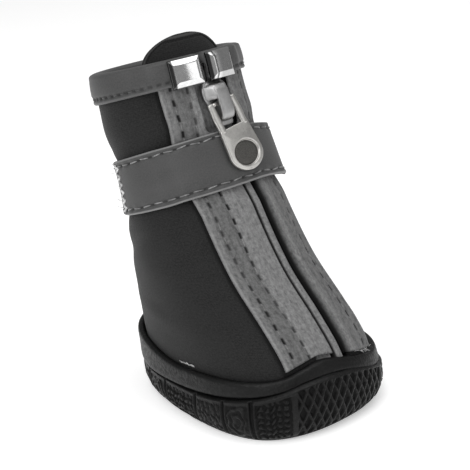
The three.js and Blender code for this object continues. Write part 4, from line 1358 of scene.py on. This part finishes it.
def on_tab(points):
    """From the tab's own frame, at its pin, to the zip's."""
    c, s = math.cos(TAB_LEAN), math.sin(TAB_LEAN)
    lean = np.array([[c, 0, -s], [0, 1, 0], [s, 0, c]])
    c, s = math.cos(TAB_SWING), math.sin(TAB_SWING)
    swing = np.array([[1, 0, 0], [0, c, -s], [0, s, c]])
    return on_zip(points @ (swing @ lean).T + np.array([PIN_HEIGHT, 0, 0]))


def round_outline(corners, count=120):
    """Closed smooth line near a polygon's corners, evenly spaced."""
    points = np.asarray(corners, float)
    for _ in range(3):
        ahead = np.roll(points, -1, 0)
        points = np.stack([0.75 * points + 0.25 * ahead, 0.25 * points + 0.75 * ahead], 1)
        points = points.reshape(-1, 2)
    ring = np.concatenate([points, points[:1]])
    length = lengths(ring)
    at = np.linspace(0, length[-1], count + 1)[:-1]
    return np.stack([np.interp(at, length, ring[:, k]) for k in (0, 1)], -1)


def plate(points, low, high, radius):
    """Plate with round edges from an outline in y and z, between two heights along x."""
    middle = points.mean(axis=0)
    tangent = unit(np.roll(points, -1, 0) - np.roll(points, 1, 0))
    inward = np.stack([-tangent[:, 1], tangent[:, 0]], -1)
    inward = inward * np.sign(np.sum((middle - points) * inward))
    turn = np.linspace(0, math.pi / 2, 5)
    inset = radius * (1 - np.sin(turn))
    lift = radius * (1 - np.cos(turn))
    rings = [(x, points + inward * edge) for x, edge in
             [*zip(low + lift, inset), *zip((high - lift)[::-1], inset[::-1])]]
    face = points + inward * radius - middle
    rings += [(high, middle + face * share) for share in (0.8, 0.5, 0.2)]
    return loft([np.column_stack([np.full(len(flat), x), flat]) for x, flat in rings])


def bar(path, widths, thickness, sides=20, square=0.6):
    """Rounded flat bar along a path in x and z, as wide along y as widths says."""
    along = unit(np.gradient(path, axis=0))
    turns = np.arange(sides) * 2 * math.pi / sides
    c, s = squared(np.cos(turns), square), squared(np.sin(turns), square)
    reach = c * np.broadcast_to(thickness, len(path))[:, None] / 2
    x = path[:, 0, None] + along[:, 1, None] * reach
    z = path[:, 1, None] - along[:, 0, None] * reach
    return loft(np.stack([x, s * np.asarray(widths)[:, None] / 2, z], -1))


def slider_hood():
    """Solid shoulders that run from the plate's wide end up to the bridge."""
    long = SLIDER_LENGTH / 2
    z = np.linspace(1.0, long - 0.1, 25)[:, None]
    half = SLIDER_WIDTH / 2 * (1 - 0.42 * smooth(z, 0.7 * long, long)) - 0.15
    half = half * (0.8 + 0.2 * smooth(z, 0.8, 2.2))
    arch = BRIDGE_LENGTH / 2
    rise = (BRIDGE_HEIGHT - 0.15) * np.maximum(1 - (z / arch) ** 4, 0) ** 0.25
    rise = np.maximum(rise, 0.9 * (1 - smooth(z, arch - 0.4, long)))
    y = np.linspace(-1, 1, 33) * half
    x = PLATE_TOP - 0.1 + rise * (1 - smooth(np.abs(y), BRIDGE_WIDTH / 2 - 0.5, half))
    x[[0, -1]] = PLATE_TOP - 0.3
    z = z + 0 * x
    back = np.stack([0 * x + PLATE_TOP - 0.4, y, z], -1)
    front = np.stack([x, y, z], -1)
    front[0, :, 2] += 0.02
    start = front[:1].copy()
    start[..., 0] = x[1]
    front = np.concatenate([front[:1], start, front[1:]])
    back = np.concatenate([back[:1], back])
    top = np.arange(y.shape[1] * len(front)).reshape(len(front), -1)
    low = top + top.size
    faces = grid_faces(top) + [face[::-1] for face in grid_faces(low)]
    for a, b in ((top[0], low[0]), (low[-1], top[-1]), (low[:, 0], top[:, 0]),
                 (top[:, -1], low[:, -1])):
        faces += np.stack([a[1:], a[:-1], b[:-1], b[1:]], -1).tolist()
    return np.concatenate([front.reshape(-1, 3), back.reshape(-1, 3)]), faces


# half of the slider's outline, in shares of its half width and half length
SLIDER_SIDE = ((0.55, -1.0), (0.7, -0.88), (0.72, -0.12), (1.0, 0.24), (1.0, 0.74), (0.62, 1.0))


def build_slider():
    side = np.array(SLIDER_SIDE) * [SLIDER_WIDTH / 2, SLIDER_LENGTH / 2]
    corners = np.concatenate([side, side[::-1] * [-1, 1]])
    body = plate(round_outline(corners), PLATE_LOW, PLATE_TOP, 0.4)
    turn = np.linspace(0, math.pi, 33)
    middle = BRIDGE_LENGTH / 2 - BRIDGE_BAR / 2
    c = squared(np.cos(turn), 0.5) * middle
    x = PLATE_TOP - 0.5 + (BRIDGE_HEIGHT - BRIDGE_BAR / 2 + 0.5) * np.sin(turn) ** 0.5
    wide = BRIDGE_WIDTH + 0.3 * smooth(c, 1.2, 4.3)
    bridge = bar(np.stack([x, c], -1), wide, BRIDGE_BAR, 24, 0.55)
    verts, faces = joined([body, bridge, slider_hood()])
    make("slider_body", on_zip(verts), faces, NICKEL, "slider")


def oval(direction, radius):
    """Distance from a stretched circle's centre to its edge."""
    return radius * RING_STRETCH / np.hypot(direction[:, 0] * RING_STRETCH, direction[:, 1])


def tab_reach(direction):
    """Distance from the ring's centre to the tab's outline."""
    neck = math.radians(5)
    reach = oval(direction, RING_RADIUS)
    start = RING_RADIUS * np.array([math.cos(neck), RING_STRETCH * math.sin(neck)])
    end = np.array([BRIDGE_WIDTH / 2 + TAB_PLAY + TAB_ARM, TAB_LENGTH + PIN_RADIUS])
    along = end - start
    for sign in (1, -1):
        x, z = direction[:, 0] * sign, direction[:, 1]
        cross = x * along[1] - z * along[0]
        cross = np.where(np.abs(cross) < 1e-9, 1e-9, cross)
        hit = (start[0] * along[1] - start[1] * along[0]) / cross
        lid = (TAB_WINDOW_END + TAB_LENGTH) / np.maximum(z, 1e-9)
        side = np.minimum(np.where(hit > 0, hit, 99), lid)
        reach = np.maximum(reach, np.where((z > 0) & (x >= 0), side, 0))
    return reach


# distance outwards from the recess and height over the plate
TAB_LIP = ((0.02, -0.1), (0.12, 0.05), (0.35, 0.12), (0.62, 0.06), (0.85, -0.02))
# distance inwards from the outline and from the plate's front or back
TAB_FRONT_EDGE = ((0.42, 0.02), (0.2, 0.06), (0.06, 0.18), (0, 0.36))
TAB_BACK_EDGE = ((0, 0.36), (0.06, 0.18), (0.2, 0.05), (0.42, 0))
# share of the recess's radius and height over its floor
TAB_DISC = ((1.0, -0.05), (1.0, 0.07), (0.75, 0.0775), (0.4, 0.088), (0.08, 0.0976))


def build_tab():
    """Flat plate with a ring and a recess, two arms beside the bridge, and the pin."""
    turn = np.radians(np.arange(0, 360, 2.5))
    direction = np.stack([np.cos(turn), np.sin(turn)], -1)
    outer = tab_reach(direction)
    hole = oval(direction, RECESS_RADIUS)
    top = TAB_THICKNESS / 2
    floor = top - RECESS_DEPTH

    def ring(reach, x):
        flat = direction * np.minimum(reach, outer)[:, None] - [0, TAB_LENGTH]
        return np.column_stack([np.full(len(turn), x), flat])

    centre = 0 * turn + 0.02
    parts = [loft([
        ring(centre, floor),
        ring(hole - 0.12, floor),
        ring(hole, floor + 0.1),
        *(ring(hole + out, top + lift) for out, lift in TAB_LIP),
        *(ring(outer - inset, top - drop) for inset, drop in TAB_FRONT_EDGE),
        *(ring(outer - inset, rise - top) for inset, rise in TAB_BACK_EDGE),
        ring(centre, -top),
    ])]
    inner = BRIDGE_WIDTH / 2 + TAB_PLAY
    flare = (RING_RADIUS - inner - TAB_ARM) / (TAB_LENGTH + PIN_RADIUS)
    z = np.linspace(PIN_RADIUS, TAB_WINDOW_END - 0.8, 22)
    swell = 0.4 * smooth(z, TAB_WINDOW_END, TAB_WINDOW_END + 3.5)
    wide = TAB_ARM + flare * (PIN_RADIUS - z) + swell
    thick = TAB_THICKNESS * np.sqrt(np.clip(0.35 + (PIN_RADIUS - z) * 1.3, 0, 1))
    sides = 20
    for side in (-1, 1):
        verts, faces = bar(np.stack([0 * z, z], -1), wide, thick, sides, 0.7)
        verts[:, 1] += np.repeat(side * (inner + wide / 2), sides)
        parts.append((verts, faces))
    pin = np.linspace(-inner - 0.5, inner + 0.5, 8)
    parts.append(tube(np.stack([0 * pin, pin, 0 * pin], -1), PIN_RADIUS * 0.95, 14))
    verts, faces = joined(parts)
    make("tab_plate", on_tab(verts), faces, TAB_NICKEL, "pull_tab", body="puller")
    verts, faces = loft([ring((hole - 0.2) * share, floor + lift) for share, lift in TAB_DISC])
    make("tab_disc", on_tab(verts), faces, RECESS, body="puller")


def build_fibres():
    """Short pale cut ends where the cloth meets the rim."""
    draw = np.random.default_rng(53)
    parts = []
    for centre, count in ((9.0, 15), (12.5, 10)):
        for _ in range(count):
            arc = centre + draw.uniform(-2.4, 2.4)
            run = float(clear_of_rim(arc)) - 0.002
            angle = float(angle_at(run, arc))
            bend = draw.uniform(-1, 1, 3) * 0.55
            out = last_normal(run, angle) * 0.5
            parts.append(loose_thread(skin(run, angle, 1.0), out, bend, 0.06))
    for _ in range(9):
        first = draw.uniform(-48.5, -42.5)
        arcs = first + np.linspace(0, draw.uniform(1.5, 3.4), 8)
        rise = np.linspace(draw.uniform(-0.1, 0.5), draw.uniform(-0.1, 0.5), 8)
        run = clear_of_rim(arcs) + (rise + 0.12 * np.sin(arcs * 3 + first)) * run_per_mm(0.3)
        lift = 0.2 + 0.25 * np.sin(np.linspace(0, math.pi, 8)) * draw.uniform(0.3, 1.2)
        parts.append(tube(skin(run, angle_at(run, arcs), lift), 0.055))
    make("cut_fibres", *joined(parts), FIBRE)


build_upper()
build_lining()
build_band(-1, "cloth_right")
build_band(1, "cloth_left")
build_tape(-1, "zip_strip_right")
build_tape(1, "zip_strip_left")
build_slit_floor()
build_binding()
build_clip(-1, "end_clip_right", "clip_right")
build_clip(1, "end_clip_left", "clip_left")
build_strap()
build_zigzag()
build_tongue()
build_sole_side()
build_tread()
build_insole()
build_slider()
build_tab()
build_fibres()


# Studio

def area_light(name, place, target, size, power):
    data = bpy.data.lights.new(name, "AREA")
    data.shape = "RECTANGLE"
    data.size, data.size_y = size
    data.energy = power
    light = add(name, data)
    light.location = place
    light.rotation_euler = (Vector(target) - Vector(place)).to_track_quat("-Z", "Y").to_euler()


def build_floor():
    mesh = bpy.data.meshes.new("floor")
    mesh.from_pydata([(-3, -3, 0), (3, -3, 0), (3, 3, 0), (-3, 3, 0)], [], [(0, 1, 2, 3)])
    p = Paint("floor", Roughness=0.9, Specular_IOR_Level=0.1, Emission_Color=(1, 1, 1, 1),
              Emission_Strength=0.42)
    speck = p.noise(p.place(), 0.004, 2.0, 0.5)
    p.put(Base_Color=p.mix(speck, 238, 242))
    mesh.materials.append(p.material)
    add("floor", mesh)


def build_camera():
    """The photo's angle to the shoe, its roll and its frame around the one shoe."""
    azimuth, elevation, roll = (math.radians(v) for v in (40.62, 18.65, 4.72))
    centre = Vector((-0.008, 0, 0.045))
    distance = 0.37778
    right = Vector((math.sin(azimuth), math.cos(azimuth), 0))
    forward = Vector((
        -math.cos(azimuth) * math.cos(elevation),
        math.sin(azimuth) * math.cos(elevation),
        -math.sin(elevation),
    ))
    up = right.cross(forward)
    turned_right = math.cos(roll) * right - math.sin(roll) * up
    turned_up = math.sin(roll) * right + math.cos(roll) * up
    data = bpy.data.cameras.new("camera")
    data.sensor_width = 36
    data.lens = 108.57
    data.shift_x = 0.0263
    data.shift_y = -0.0175
    data.clip_start = 0.01
    camera = add("camera", data)
    axes = Matrix((turned_right, turned_up, -forward)).transposed()
    camera.matrix_world = Matrix.Translation(centre - forward * distance) @ axes.to_4x4()
    bpy.context.scene.camera = camera


def build_world():
    world = bpy.data.worlds.new("studio")
    world.use_nodes = True
    background = world.node_tree.nodes["Background"]
    background.inputs["Color"].default_value = (1, 1, 1, 1)
    background.inputs["Strength"].default_value = 0.3
    bpy.context.scene.world = world


build_floor()
build_camera()
build_world()
bpy.context.scene.view_settings.view_transform = "Standard"
area_light("key", (0.25, -0.75, 0.7), (0, 0, 0.04), (0.7, 0.7), 5.5)
area_light("top", (0.1, 0.1, 1.0), (0, 0, 0.03), (0.9, 0.9), 5)
area_light("fill", (0.9, 0.35, 0.35), (0, 0, 0.05), (0.6, 0.6), 1.2)
